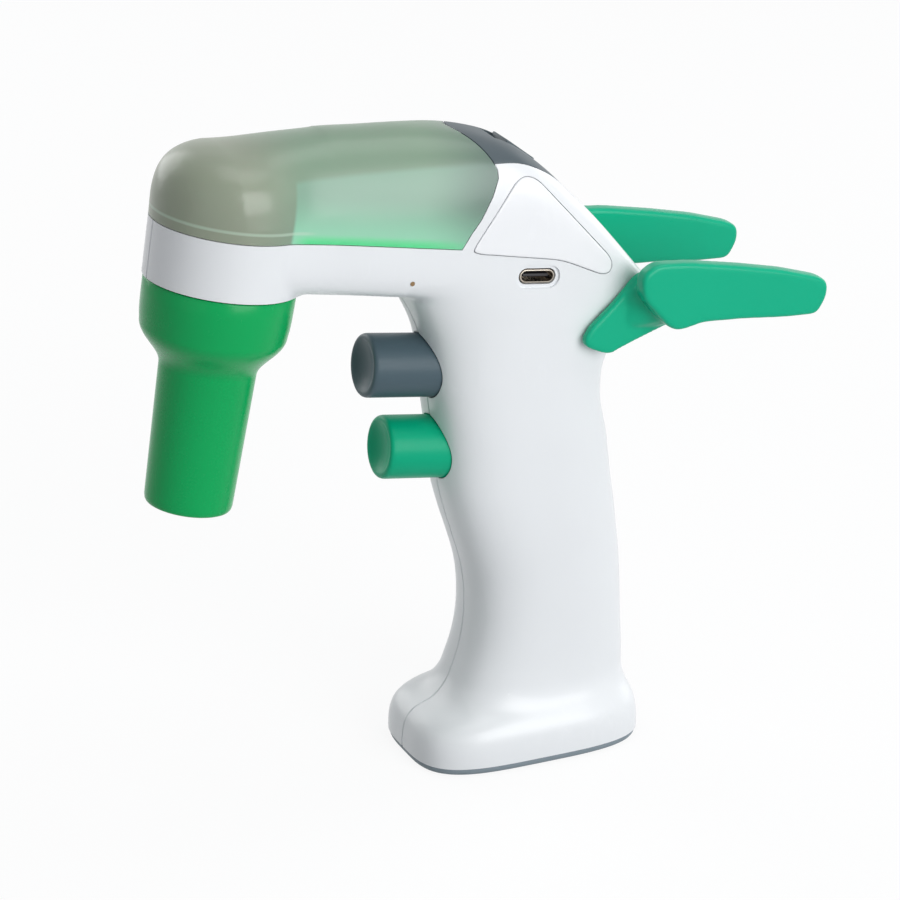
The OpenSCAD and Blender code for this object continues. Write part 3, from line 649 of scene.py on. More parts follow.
class Finish(Graph):
    """A material whose Principled shader is fed by nodes on Object coordinates."""

    def __init__(self, name, **constants):
        self.material = bpy.data.materials.new(name + "_finish")
        self.material.use_nodes = True
        super().__init__(self.material.node_tree)
        self.shader = self.tree.nodes["Principled BSDF"]
        for socket, value in constants.items():
            self.shader.inputs[socket.replace("_", " ")].default_value = value
        self.place = self.node("ShaderNodeTexCoord", {}, {}, "Object")

    def moved(self, matrix):
        """Object coordinates seen from another frame, in millimetres."""
        back = matrix.inverted()
        turn = back.to_euler("XYZ")
        return self.node(
            "ShaderNodeMapping", {"vector_type": "POINT"},
            {"Vector": self.place, "Location": back.translation / MM, "Rotation": turn,
             "Scale": (1 / MM,) * 3},
        )

    def parts(self, vector):
        """X, Y and Z of a place."""
        return self.all_of(self.node("ShaderNodeSeparateXYZ", {}, {0: vector}))

    def noise(self, size, detail=2.0, roughness=0.5, stretch=None):
        """Soft noise whose grains are about the given size in millimetres."""
        place = self.place
        if stretch:
            place = self.node("ShaderNodeMapping", {}, {"Vector": place, "Scale": stretch})
        return self.node(
            "ShaderNodeTexNoise", {},
            {"Vector": place, "Scale": 1 / (size * MM), "Detail": detail, "Roughness": roughness},
        )

    def mixed(self, share, one, other):
        """One colour turning into another."""
        return self.node("ShaderNodeMix", {"data_type": "RGBA"}, {0: share, 6: one, 7: other}, 2)

    def scuffs(self, size, share):
        """Thin rubbed marks: 1 on a mark and 0 elsewhere."""
        bent = self.noise(size, 3, 0.6, (1, 1, 0.35))
        return (1 - abs(bent - share) * 60).most(0)

    def feed(self, **sockets):
        """Links values to the shader's own sockets."""
        for name, value in sockets.items():
            self.tree.links.new(value.socket, self.shader.inputs[name.replace("_", " ")])

    def bumped(self, height, depth):
        """Raises the surface by a height of 0 to 1, which stands for the depth in millimetres."""
        self.feed(Normal=self.node(
            "ShaderNodeBump", {}, {"Strength": 1.0, "Distance": depth * MM, "Height": height}
        ))


def shade(colour, factor):
    """A colour made lighter or darker."""
    return tuple(max(0.0, min(1.0, c * factor)) for c in colour[:3])


def linear(*srgb):
    """A colour from 0 to 255 as the shader's own values."""
    return tuple(
        (c / 255 / 12.92) if c / 255 <= 0.04045 else ((c / 255 + 0.055) / 1.055) ** 2.4 for c in srgb
    )


MADE = {}


def made_once(make):
    """Lets pieces of one finish share its material."""
    def shared(name, *values, **constants):
        if name not in MADE:
            MADE[name] = make(name, *values, **constants)
        return MADE[name]
    return shared


@made_once
def moulded(name, colour, roughness=0.35, coat=0.0, grain=0.25, depth=0.004, **constants):
    """Moulded plastic: slight change of tone, fine mould texture, rubbed marks and handling haze."""
    finish = Finish(name, Coat_Weight=coat, Coat_Roughness=0.12, **constants)
    tone = finish.noise(38, 2)
    haze = finish.noise(14, 3, 0.6)
    fine = finish.noise(grain, 2, 0.6)
    marks = finish.scuffs(11, 0.52) * finish.noise(30, 1).between(0.5, 0.62)
    plain = finish.mixed(tone, shade(colour, 0.965), shade(colour, 1.03))
    finish.feed(
        Base_Color=finish.mixed(marks * 0.1, plain, shade(colour, 1.12)),
        Roughness=roughness + (haze - 0.5) * 0.12 + marks * 0.05 + (fine - 0.5) * 0.05,
    )
    finish.bumped(fine + marks * 0.15, depth)
    return finish.material


def frosted_cover(tints):
    """Frosted cover: grey above, greener low on the flanks where the liner shows through, with painted
    light there: a painted glow low on the flanks and a painted bright line over the seam.
    """
    finish = Finish(
        "frosted_cover", Subsurface_Weight=0.2, Subsurface_Radius=(0.5, 1.0, 0.7),
        Subsurface_Scale=0.004, Coat_Weight=0.25, Coat_Roughness=0.2, Specular_IOR_Level=0.35,
    )
    x, y, z = finish.parts(finish.moved(IN_NOSE))
    height = z - COLLAR_HEIGHT
    side = abs(y)
    cloud = finish.noise(22, 2)
    fine = finish.noise(0.35, 2, 0.6)
    round_front, rear = 1 - x.between(-4, 14), x.between(40, 62)
    body = finish.mixed(cloud, tints.cover_top, shade(tints.cover_top, 1.05))
    body = finish.mixed(round_front * 0.8, body, tints.cover_dome)
    # the liner lies behind the flat flank, not in the round front, and its edge rises to the back
    behind = x.between(8.6, 9.8)
    rise = (x - 10) * 0.138 + 14
    flank = 1 - (height - rise).between(-1.2, 0.4)
    body = finish.mixed(behind * flank * side.between(6, 10), body, tints.cover_low)
    # painted glow: the flanks lighter green near the cover's lower edge, fading upwards
    glow = behind * (1 - height.between(0, 12)) * side.between(9, 13)
    body = finish.mixed(glow, body, tints.cover_painted_glow)
    body = finish.mixed(rear * (1 - glow * 0.6) * 0.85, body, tints.cover_rear)
    lip = height.between(1.9, 2.3) * (1 - height.between(2.5, 3.0)) * (1 - x.between(12, 16))
    body = finish.mixed(lip * 0.5, body, tints.cover_lip)
    # painted highlight: a bright green line along the cover's lower edge, over the seam
    line = (1 - height.between(0.3, 2.6)) * x.between(8, 14) * (1 - rear) * side.between(8, 12)
    body = finish.mixed(line * 0.85, body, tints.cover_painted_line)
    finish.feed(Base_Color=body, Roughness=0.36 + (cloud - 0.5) * 0.1 + (fine - 0.5) * 0.05)
    finish.bumped(fine, 0.004)
    return finish.material


@made_once
def metal(name, colour, roughness=0.3, lines=(1, 1, 1)):
    """Plated metal with faint drawn lines."""
    finish = Finish(name, Metallic=1.0)
    drawn = finish.noise(0.6, 3, 0.7, lines)
    stain = finish.noise(6, 2)
    finish.feed(
        Base_Color=finish.mixed(stain, shade(colour, 0.9), colour),
        Roughness=roughness + (drawn - 0.5) * 0.2,
    )
    finish.bumped(drawn, 0.003)
    return finish.material


def circuit_board(name, colour):
    """Green board with paler tracks under its lacquer."""
    finish = Finish(name, Coat_Weight=0.5, Coat_Roughness=0.15)
    run = finish.node("ShaderNodeTexBrick", {}, {
        "Vector": finish.moved(Matrix.Identity(4)), "Scale": 0.35, "Mortar Size": 0.05,
        "Color1": (0, 0, 0), "Color2": (0, 0, 0), "Mortar": (1, 1, 1),
    }, 1)
    fine = finish.noise(0.4, 2)
    finish.feed(
        Base_Color=finish.mixed(run, colour, shade(colour, 2.2)),
        Roughness=0.4 + (fine - 0.5) * 0.15,
    )
    finish.bumped(run, 0.03)
    return finish.material


# ---- Settings ----


def tint(label, place, *srgb):
    """A colour setting with its default."""
    return FloatVectorProperty(
        name=label, description=f"Colour of {place}", subtype="COLOR", size=3, min=0, max=1,
        default=linear(*srgb),
    )


def millimetres(label, text, default, low, high):
    """A length setting whose numbers are given in millimetres."""
    return FloatProperty(
        name=label, description=text, default=default * MM, min=low * MM, max=high * MM,
        subtype="DISTANCE", unit="LENGTH",
    )


def watts(label, place, default):
    """A lamp's power setting."""
    return FloatProperty(
        name=label, description=f"Power of the light {place}", default=default, min=0, max=100,
        subtype="POWER", unit="POWER",
    )


class PipetteSizes(bpy.types.PropertyGroup):
    """Sizes of the visible pieces."""

    wall: millimetres("Wall", "Thickness of the housing's wall", 2.2, 1, 4)
    grain: millimetres("Skin Grid", "Size of the faces that make the housing's skin", 0.7, 0.4, 2)
    blend_rounds: IntProperty(
        name="Blend Rounds", description="How softly the grip, head and collar run together",
        default=8, min=0, max=40,
    )
    cone_length: millimetres(
        "Nosepiece Length", "Length of the nosepiece below the collar", 54.5, 40, 70
    )
    trigger_length: millimetres(
        "Trigger Length", "Length of a trigger with the part inside the grip", 32.6, 25, 40
    )
    arm_thickness: millimetres("Arm Thickness", "Thickness of the stand's arms", 4.4, 2, 6)
    badge_rise: millimetres("Badge Rise", "How far a side badge stands out of the flank", 0.25, 0, 1)


class PipetteTints(bpy.types.PropertyGroup):
    """Colours of the visible pieces."""

    housing: tint("Housing", "the two shells", 230, 233, 236)
    cover_top: tint("Cover", "the frosted cover's top", 126, 151, 130)
    cover_dome: tint("Cover Dome", "the cover's round front", 147, 153, 135)
    cover_low: tint("Cover Flank", "the cover's flanks", 133, 168, 148)
    # painted glow low on the cover's flanks, fading upwards, standing in for light through the cover
    cover_painted_glow: tint("Cover Glow", "the cover where the liner shines through", 150, 212, 180)
    cover_rear: tint("Cover Rear", "the cover's rear end", 88, 108, 102)
    cover_lip: tint("Cover Lip", "the cover's lower lip", 190, 215, 195)
    # painted highlight: the bright line along the cover's lower edge over the seam
    cover_painted_line: tint("Cover Edge", "the bright line over the seam", 70, 220, 135)
    nosepiece: tint("Nosepiece", "the nosepiece", 0, 165, 88)
    stand: tint("Stand", "the rear stand", 0, 173, 132)
    dispense: tint("Dispense Trigger", "the lower trigger", 0, 166, 124)
    aspirate: tint("Aspirate Trigger", "the upper trigger", 74, 92, 101)
    trim: tint("Crest Strip", "the strip behind the cover", 78, 89, 95)
    sole: tint("Sole", "the foot's sole", 128, 141, 149)
    badge: tint("Badge", "the side badges", 238, 240, 243)


class PipetteStage(bpy.types.PropertyGroup):
    """Light, floor and camera."""

    key_power: watts("Key Light", "on the near side", 9.8)
    fill_power: watts("Fill Light", "ahead of the nose", 0.6)
    rim_power: watts("Rim Light", "behind the stand", 2.6)
    top_power: watts("Top Light", "above", 4.0)
    back_power: watts("Back Light", "on the far side", 4.0)
    room_light: FloatProperty(
        name="Room Light", description="Strength of the light from all around", default=0.22,
        min=0, max=2,
    )
    lens: FloatProperty(
        name="Focal Length", description="Focal length of the camera, in millimetres",
        default=141.6, min=20, max=300,
    )
    floor: tint("Floor", "the floor", 190, 191, 193)


# ---- Pieces ----


def shell_bosses(skin):
    """Screw posts across the housing and in the foot, kept inside its skin."""
    posts = [
        rod("post", POST_RADIUS, -HALF_WIDTH + 0.5, HALF_WIDTH - 0.5, at(x, 0, z) @ UPRIGHT, 24)
        for x, z in SHELL_SCREWS
    ]
    for x, y in BASE_SCREWS:
        posts.append(rod("foot_post", POST_RADIUS, 2.2, 12, at(x, y, 0), 24))
        inside, outside = sorted((y, math.copysign(30, y)))
        posts.append(block("rib", (x - 0.8, inside, 4.2), (x + 0.8, outside, 12)))
    return carved(posts[0], *[("UNION", post) for post in posts[1:]], ("INTERSECT", skin))


class PIPETTE_OT_housing(bpy.types.Operator):
    """Builds the two white shells of the housing, which part along the middle plane"""

    bl_idname = "pipette.housing"
    bl_label = "Housing Shells"

    def execute(self, context):
        sizes, tints = context.scene.pipette_sizes, context.scene.pipette_tints
        skin, hollow = outer_form(sizes), inner_form(sizes)
        white = moulded("shell_white", tints.housing, 0.35, 0.12, 0.3, 0.003)
        below = block("below", (-80, -60, -20), (80, 60, 2))
        under_collar = block("under", (-60, -60, -30), (18.9, 60, 0), IN_NOSE)
        body = carved(
            skin, ("DIFFERENCE", hollow), ("UNION", shell_bosses(skin)), ("DIFFERENCE", below),
            ("DIFFERENCE", under_collar), *self.openings(),
        )
        for name, side in (("left_shell", -1), ("right_shell", 1)):
            low, high = sorted((side * PARTING_GAP, side * 90))
            half = block("half", (-150, low, -20), (150, high, 220))
            shell = self.with_eased_parting(carved(body, ("INTERSECT", half)), side)
            finished(shell, f"housing_{name}", white, "housing", (name,))
        return {"FINISHED"}

    @staticmethod
    def openings():
        """Every hole and recess of the housing, as boolean steps."""
        cuts = [
            cover_room(SEAM_GAP), trim_room(SEAM_GAP),
            rod("collar_bore", 16, -1, 3, IN_NOSE, 96), rod("socket_bore", 14.8, -1, 10, IN_NOSE, 96),
        ]
        for name in TRIGGER_FRONTS:
            cuts.append(rod("trigger_hole", TRIGGER_RADIUS + 0.3, 8, 25, along_trigger(name), 72))
        cuts.append(prism("port", slot_outline(9.6, 3.9), 8.5, 17, IN_USB))
        cuts.append(prism("port_recess", slot_outline(11.4, 5.6), 14.35, 17, IN_USB))
        cuts.append(rod("lens_hole", 0.6, 9, 17, at(LENS_AT[0], 0, LENS_AT[1]) @ UPRIGHT, 32))
        for side in (-1, 1):
            cuts.append(carved(badge_room(side, 0.15), ("DIFFERENCE", head_loft(1.0))))
        for x, z in PEGS:
            cuts.append(rod("peg_hole", 1.9, -20, 20, at(x, 0, z) @ UPRIGHT, 32))
        for x, y in BASE_SCREWS:
            cuts.append(rod("base_screw_hole", SCREW_BORE, -1, 11, at(x, y, 0), 24))
        for x, z in SHELL_SCREWS:
            upright = at(x, 0, z) @ UPRIGHT
            cuts.append(rod("screw_hole", SCREW_BORE, -15, 9.5, upright, 24))
            cuts.append(rod("screw_recess", HEAD_RADIUS, -30, -12, upright, 40))
        return [("DIFFERENCE", cut) for cut in cuts]

    @staticmethod
    def with_eased_parting(mesh, side):
        """Turns the outer rim at the parting plane in a little, for the line between the halves."""
        bm = bmesh.new()
        bm.from_mesh(mesh)
        bmesh.ops.bisect_plane(
            bm, geom=bm.verts[:] + bm.edges[:] + bm.faces[:], dist=1e-7,
            plane_co=(0, side * PARTING_REACH * MM, 0), plane_no=(0, 1, 0),
        )
        moves = []
        for vert in bm.verts:
            if abs(vert.co.y) > 0.06 * MM:
                continue
            across = [f.normal for f in vert.link_faces if abs(f.normal.y) < 0.6]
            if not across:
                continue
            normal = sum(across, Vector()).normalized()
            if outwards(vert.co, normal):
                moves.append((vert, normal))
        for vert, normal in moves:
            vert.co -= normal * (PARTING_DEPTH * MM)
        bm.to_mesh(mesh)
        bm.free()
        return mesh


def outwards(point, normal):
    """Whether a normal on the middle plane points out of the housing and not into its hollow."""
    x, z = point.x / MM, point.z / MM
    grip_top, head_from, head_to, head_level, tail_from, tail_low = 112, -70, 10, 134, 5, 106
    if z > tail_low and x > tail_from:
        middle = Vector((8, 0, 120))
    elif z < grip_top:
        middle = Vector((0, 0, z))
    else:
        middle = Vector((min(max(x, head_from), head_to), 0, head_level))
    return (Vector((x, 0, z)) - middle).dot(Vector((normal.x, 0, normal.z))) > 0


class PIPETTE_OT_cover(bpy.types.Operator):
    """Builds the frosted cover over the head"""

    bl_idname = "pipette.cover"
    bl_label = "Frosted Cover"

    def execute(self, context):
        sizes, tints = context.scene.pipette_sizes, context.scene.pipette_tints
        cover = carved(
            outer_form(sizes), ("INTERSECT", cover_room(0)), ("DIFFERENCE", inner_form(sizes)),
        )
        finished(cover, "cover", frosted_cover(tints), "housing", ("top_cover",), 40)
        return {"FINISHED"}


class PIPETTE_OT_crest(bpy.types.Operator):
    """Builds the slate strip on the crest and the ribbed slider in it"""

    bl_idname = "pipette.crest"
    bl_label = "Crest Strip and Slider"

    def execute(self, context):
        sizes, tints = context.scene.pipette_sizes, context.scene.pipette_tints
        slate = moulded("slate_trim", tints.trim, 0.45, 0.0, 0.3, 0.006, Specular_IOR_Level=0.3)
        pocket = block("pocket", (-8.4, -4.2, -1.7), (7.4, 4.2, 12), ON_SLIDER)
        slot = block("slot", (-5.5, -1.6, -12), (4.5, 1.6, 0), ON_SLIDER)
        strip = carved(
            outer_form(sizes), ("INTERSECT", trim_room(0)), ("DIFFERENCE", head_loft(3.2)),
            ("DIFFERENCE", pocket), ("DIFFERENCE", slot),
        )
        finished(strip, "crest_strip", slate, "housing", ("selector_trim",), 40)
        finished(self.slider(), "slider", slate, "slider", ("speed_slider",), 40)
        return {"FINISHED"}

    @staticmethod
    def slider():
        """A thumb plate with five grip grooves and the stem under it."""
        plate = block("plate", (-5, -4, -1.4), (4, 4, 0.45), ON_SLIDER, 0.35)
        grooves = [
            rod("groove", 0.42, -3.1, 3.1, ON_SLIDER @ at(1.4 * i - 0.5, 0, 0.6) @ UPRIGHT, 20)
            for i in range(-2, 3)
        ]
        stem = block("stem", (-2.5, -1.4, -6.6), (1.5, 1.4, -1), ON_SLIDER)
        return carved(plate, *[("DIFFERENCE", groove) for groove in grooves], ("UNION", stem))


class PIPETTE_OT_badges(bpy.types.Operator):
    """Builds the two bare corner badges on the flanks"""

    bl_idname = "pipette.badges"
    bl_label = "Side Badges"

    def execute(self, context):
        sizes, tints = context.scene.pipette_sizes, context.scene.pipette_tints
        gloss = moulded("badge_white", tints.badge, 0.3, 0.15, 0.5, 0.001)
        for name, side in (("left_badge", -1), ("right_badge", 1)):
            plate = carved(
                badge_room(side, 0), ("INTERSECT", head_loft(-sizes.badge_rise / MM)),
                ("DIFFERENCE", head_loft(0.9)),
            )
            plate = blended(plate, 0.22 * MM, 5)
            finished(plate, f"side_{name}", gloss, "housing", (name,))
        return {"FINISHED"}


class PIPETTE_OT_nosepiece(bpy.types.Operator):
    """Builds the green nosepiece that screws on under the collar"""

    bl_idname = "pipette.nosepiece"
    bl_label = "Nosepiece"

    def execute(self, context):
        length = context.scene.pipette_sizes.cone_length / MM
        wide, narrowing, start, run, steps = 17.2, 5.8, -11, 10, 24
        shoulder = [
            (wide - narrowing * (1 - math.cos(math.pi * t / steps)) / 2, start - run * t / steps)
            for t in range(steps + 1)
        ]
        outer = [(17.3, -0.35), (17.6, -0.45), (17.75, -0.75), (17.7, -4), (17.6, -7.2), (17.45, -9.2)]
        tip = [
            (10.46, 3), (10.4, 1.4), (10.24, 0.62), (9.96, 0.2), (9.6, 0.02), (9.25, 0), (8.98, 0.1),
            (8.74, 0.45), (8.62, 1.2),
        ]
        inner = [(9.6, -22), (12.4, -15.5), (14.9, -12), (14.9, -0.35)]
        outline = outer + shoulder + [(r, z - length) for r, z in tip] + inner
        cone = turned("cone", outline, 128, IN_NOSE, closed=True)
        green = moulded(
            "green_gloss", context.scene.pipette_tints.nosepiece, 0.26, 0.06, 0.6, 0.002,
            Specular_IOR_Level=0.16,
        )
        finished(cone, "nosepiece_cone", green, "nosepiece", ("nose_cone",), 40)
        return {"FINISHED"}


class PIPETTE_OT_triggers(bpy.types.Operator):
    """Builds the two round triggers with their dished faces"""

    bl_idname = "pipette.triggers"
    bl_label = "Triggers"

    def execute(self, context):
        sizes, tints = context.scene.pipette_sizes, context.scene.pipette_tints
        length = sizes.trigger_length / MM
        dish = [(0.0, 1.75), (1.5, 1.68), (3, 1.42), (4.4, 0.98), (5.4, 0.52), (6, 0.22)]
        rim = [(6.35, 0.06), (6.65, 0.0), (6.98, 0.06), (7.26, 0.22), (7.46, 0.46), (7.6, 0.84)]
        face = [(r, z + TRIGGER_FACE) for r, z in dish + rim]
        barrel = [
            (TRIGGER_RADIUS, TRIGGER_FACE + 1.5), (TRIGGER_RADIUS, TRIGGER_FACE + 6),
            (TRIGGER_RADIUS, length - 1.5), (8.6, length - 1.5), (8.6, length), (2, length),
            (2, length - 3), (0, length - 3),
        ]
        for name, finish, colour, roughness, specular, slot in (
            ("aspirate", "slate_trigger", tints.aspirate, 0.4, 0.2, "slate_grey"),
            ("dispense", "trigger_green", tints.dispense, 0.38, 0.15, "trigger_green"),
        ):
            gloss = moulded(
                finish, colour, roughness, 0.03, 0.4, 0.003, Specular_IOR_Level=specular
            )
            trigger = turned("trigger", face + barrel, 96, along_trigger(name))
            piece = f"{name}_trigger"
            finished(trigger, piece, gloss, piece, (f"{name}_button",), 40)
        return {"FINISHED"}


class PIPETTE_OT_stand(bpy.types.Operator):
    """Builds the green bracket whose two arms rest or hang the controller"""

    bl_idname = "pipette.stand"
    bl_label = "Rear Stand"

    def execute(self, context):
        thick = context.scene.pipette_sizes.arm_thickness / MM
        forms = []
        for side in (-1, 1):
            for name, outline, middle, width, edge in (
                ("arm", softened(ARM_OUTLINE, 1.9), ARM_REACH, thick, 1.0),
                ("flange", softened(FLANGE_OUTLINE, 2.2), FLANGE_SEAT + 1.3, 2.6, 0.6),
            ):
                low, high = -side * middle - width / 2, -side * middle + width / 2
                forms.append(prism(name, outline, low, high, UPRIGHT, edge))
            forms.append(self.web(side))
            for x, z in PEGS:
                low, high = sorted((-side * 11.5, -side * 16.5))
                forms.append(rod("peg", 1.7, low, high, at(x, 0, z) @ UPRIGHT, 32))
        forms.append(prism("bridge", softened(BRIDGE_OUTLINE, 0.9), -17.8, 17.8, UPRIGHT))
        bracket = blended(joined("stand", *forms), 0.4 * MM, 5)
        green = moulded(
            "stand_green", context.scene.pipette_tints.stand, 0.3, 0.05, 0.5, 0.002,
            Specular_IOR_Level=0.2,
        )
        finished(bracket, "stand_bracket", green, "housing", ("rear_stand",))
        return {"FINISHED"}

    @staticmethod
    def web(side):
        """The sloping wall that steps out from the flange to the arm."""
        rings = []
        for outline, y in (
            (WEB_AT_FLANGE, FLANGE_SEAT + 0.6), (WEB_AT_FLANGE, FLANGE_SEAT + 2.2),
            (WEB_AT_ARM, ARM_REACH - 1.6), (WEB_AT_ARM, ARM_REACH - 0.8),
        ):
            rings.append([(x, side * y, z) for x, z in softened(outline, 2.2)])
        return loft("web", rings)


class PIPETTE_OT_sole(bpy.types.Operator):
    """Builds the blue-grey sole under the foot"""

    bl_idname = "pipette.sole"
    bl_label = "Sole"

    def execute(self, context):
        foot = HANDLE_ROWS[1]
        levels = (
            (0.0, 1.5), (0.05, 1.15), (0.3, 0.75), (0.7, 0.5), (1.2, 0.35), (1.7, 0.28), (1.95, 0.32),
            (1.97, 2.5),
        )
        sole = loft("sole", [level_ring((z, *foot[1:]), inset) for z, inset in levels])
        cuts = []
        for x, y in BASE_SCREWS:
            cuts.append(rod("hole", 1.45, -1, 4, at(x, y, 0), 32))
            cuts.append(rod("head", 2.5, -1, 1.1, at(x, y, 0), 40))
        lip_out = loft("lip", [level_ring((z, *foot[1:]), 2.6) for z in (1.5, 4)])
        lip_in = loft("lip_in", [level_ring((z, *foot[1:]), 4.0) for z in (1, 5)])
        lip = carved(lip_out, ("DIFFERENCE", lip_in))
        sole = carved(sole, ("UNION", lip), *[("DIFFERENCE", cut) for cut in cuts])
        rubber = moulded("sole_grey", context.scene.pipette_tints.sole, 0.55, 0.0, 0.5, 0.012)
        finished(sole, "foot_sole", rubber, "housing", ("base_plate",), 40)
        return {"FINISHED"}


class PIPETTE_OT_ports(bpy.types.Operator):
    """Builds the charging inlet"""

    bl_idname = "pipette.ports"
    bl_label = "Charging Inlet"

    def execute(self, context):
        case = prism("case", slot_outline(8.9, 3.2), 7, 14.3, IN_USB, 0.12)
        mouth = prism("mouth", slot_outline(8.3, 2.6), 7.8, 15, IN_USB)
        case = carved(case, ("DIFFERENCE", mouth))
        tongue = block("tongue", (-3.3, -0.35, 7.6), (3.3, 0.35, 13.4), IN_USB, 0.12)
        steel = metal("port_steel", linear(188, 180, 168), 0.28, (1, 1, 4))
        black = moulded("port_black", linear(34, 34, 37), 0.5)
        finished(case, "inlet_case", steel, "housing", ("usb_port",), 40)
        finished(tongue, "inlet_tongue", black, "housing", (), 40)
        return {"FINISHED"}


class PIPETTE_OT_inner_works(bpy.types.Operator):
    """Gives every CAD node that stays its own finish"""

    bl_idname = "pipette.inner_works"
    bl_label = "Inner Works"

    def execute(self, context):
        steel = metal("screw_steel", linear(196, 198, 200), 0.3, (1, 6, 1))
        finishes = {}
        for finish, nodes in (
            (steel, "base_screws shell_screws aspirate_spring dispense_spring pump_shaft"),
            (metal("brass", linear(205, 170, 96), 0.28, (6, 1, 1)), "aspirate_stem dispense_stem"),
            (moulded("natural_plastic", linear(214, 214, 206), 0.45),
             "nose_socket aspirate_guide dispense_guide motor_saddle"),
            (moulded("black_plastic", linear(38, 38, 41), 0.5),
             "speed_switch aspirate_switch dispense_switch battery_cradle"),
            (moulded("silicone_tube", linear(206, 210, 212), 0.4, 0.2, 0.8),
             "suction_tube pressure_tube nose_tube"),
            (moulded("liner_green", linear(60, 215, 125), 0.3, 0.3), "light_guide"),
            (moulded("silicone", linear(216, 217, 219), 0.5, 0.0, 0.6, 0.01), "pipette_holder"),
            (moulded("filter_white", linear(236, 238, 242), 0.45), "filter_capsule"),
            (moulded("seal_rubber", linear(32, 32, 34), 0.6, 0.0, 0.5, 0.01), "nose_seal"),
            (moulded("valve_grey", linear(150, 155, 160), 0.42), "valve_block"),
            (metal("motor_can", linear(176, 178, 180), 0.34, (6, 1, 1)), "pump_motor"),
            (moulded("pump_grey", linear(78, 84, 92), 0.45), "pump_head"),
            (moulded("cell_sleeve", linear(34, 92, 150), 0.3, 0.3, 0.8), "battery_cell"),
            (metal("nickel", linear(202, 196, 176), 0.25, (1, 1, 1)), "battery_contacts"),
            (moulded("wire_red", linear(170, 30, 28), 0.4), "battery_leads"),
            (circuit_board("board_green", linear(20, 92, 50)), "main_board"),
            (moulded("lens_amber", linear(138, 108, 66), 0.2, 0.5), "indicator_lens"),
        ):
            finishes.update(dict.fromkeys(nodes.split(), finish))
        for name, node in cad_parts.items():
            if node.hide_render:
                continue
            if name not in finishes:
                raise RuntimeError(f"the CAD node {name} has no finish")
            if not node.material_slots:
                node.data.materials.append(None)
            for slot in node.material_slots:
                slot.material = finishes[name]
        return {"FINISHED"}


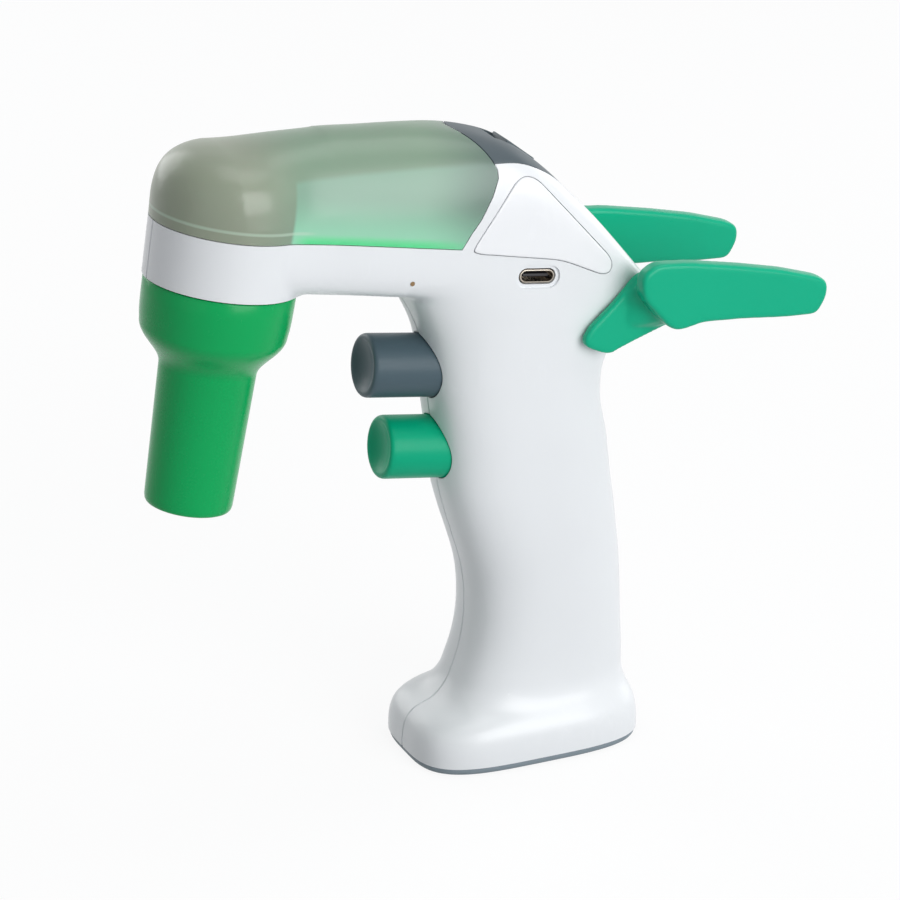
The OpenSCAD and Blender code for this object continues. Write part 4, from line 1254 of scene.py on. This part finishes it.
class PIPETTE_OT_stage(bpy.types.Operator):
    """Sets up the floor, the lights, the background and the camera"""

    bl_idname = "pipette.stage"
    bl_label = "Stage"

    def execute(self, context):
        stage = context.scene.pipette_stage
        self.floor(stage)
        self.room(context.scene, stage)
        aim = Vector(CAMERA_AIM)
        for name, place, size in LAMPS:
            lamp_power = getattr(stage, f"{name}_power")
            lamp = bpy.data.lights.new(name, "AREA")
            lamp.shape, lamp.size, lamp.energy = "SQUARE", size, lamp_power
            holder = bpy.data.objects.new(name, lamp)
            holder.location = place
            holder.rotation_euler = (aim - Vector(place)).to_track_quat("-Z", "Y").to_euler()
            context.scene.collection.objects.link(holder)
        camera = bpy.data.cameras.new("camera")
        camera.lens, camera.sensor_width = stage.lens, 36
        camera.clip_start, camera.clip_end = 0.05, 20
        holder = bpy.data.objects.new("camera", camera)
        holder.location = CAMERA_AT
        holder.rotation_euler = (aim - holder.location).to_track_quat("-Z", "Y").to_euler()
        context.scene.collection.objects.link(holder)
        context.scene.camera = holder
        context.scene.view_settings.view_transform = "Standard"
        return {"FINISHED"}

    @staticmethod
    def floor(stage):
        """A wide pale floor that keeps the object's shadow."""
        bm = bmesh.new()
        bmesh.ops.create_grid(bm, x_segments=1, y_segments=1, size=FLOOR_REACH)
        mesh = mesh_of(bm, "floor")
        material = bpy.data.materials.new("floor")
        material.use_nodes = True
        tree = material.node_tree
        shader = tree.nodes["Principled BSDF"]
        shader.inputs["Base Color"].default_value = (*stage.floor, 1)
        shader.inputs["Roughness"].default_value = 0.7
        shader.inputs["Specular IOR Level"].default_value = 0.0
        graph = Graph(tree)
        glow = graph.node("ShaderNodeEmission", {}, {"Color": (1, 1, 1), "Strength": BACKDROP_GLOW})
        share, plain = graph.seen() * BACKDROP_SHARE, Level(graph, shader.outputs[0])
        mix = graph.node("ShaderNodeMixShader", {}, {0: share, 1: plain, 2: glow})
        tree.links.new(mix.socket, tree.nodes["Material Output"].inputs[0])
        mesh.materials.append(material)
        floor = bpy.data.objects.new("floor", mesh)
        floor.location.z = -FLOOR_DROP * MM
        bpy.context.scene.collection.objects.link(floor)

    @staticmethod
    def room(scene, stage):
        """Even light all around, with a white background."""
        world = bpy.data.worlds.new("room")
        scene.world = world
        world.use_nodes = True
        graph = Graph(world.node_tree)
        dim = graph.node(
            "ShaderNodeBackground", {}, {"Color": (0.96, 0.98, 1), "Strength": stage.room_light}
        )
        bright = graph.node("ShaderNodeBackground", {}, {"Color": (1, 1, 1), "Strength": 1.0})
        mix = graph.node("ShaderNodeMixShader", {}, {0: graph.seen(), 1: dim, 2: bright})
        world.node_tree.links.new(mix.socket, world.node_tree.nodes["World Output"].inputs[0])


OPERATORS = (
    PIPETTE_OT_housing, PIPETTE_OT_cover, PIPETTE_OT_crest, PIPETTE_OT_badges, PIPETTE_OT_nosepiece,
    PIPETTE_OT_triggers, PIPETTE_OT_stand, PIPETTE_OT_sole, PIPETTE_OT_ports, PIPETTE_OT_inner_works,
    PIPETTE_OT_stage,
)


class PIPETTE_PT_panel(bpy.types.Panel):
    """Lists the pieces and the settings"""

    bl_idname = "PIPETTE_PT_panel"
    bl_label = "Pipette Controller"
    bl_space_type = "VIEW_3D"
    bl_region_type = "UI"
    bl_category = "Pipette"

    def draw(self, context):
        for operator in OPERATORS:
            self.layout.operator(operator.bl_idname)
        for settings in SETTINGS:
            group = getattr(context.scene, settings)
            box = self.layout.box()
            for name in group.__annotations__:
                box.prop(group, name)


SETTINGS = {
    "pipette_sizes": PipetteSizes,
    "pipette_tints": PipetteTints,
    "pipette_stage": PipetteStage,
}
CLASSES = (*SETTINGS.values(), *OPERATORS, PIPETTE_PT_panel)


def register():
    for kind in CLASSES:
        bpy.utils.register_class(kind)
    for name, kind in SETTINGS.items():
        setattr(bpy.types.Scene, name, PointerProperty(type=kind))


def unregister():
    for name in SETTINGS:
        delattr(bpy.types.Scene, name)
    for kind in reversed(CLASSES):
        bpy.utils.unregister_class(kind)


def main():
    """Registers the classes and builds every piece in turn."""
    MADE.clear()
    register()
    for operator in OPERATORS:
        group, name = operator.bl_idname.split(".")
        getattr(getattr(bpy.ops, group), name)()


if __name__ == "__main__":
    main()
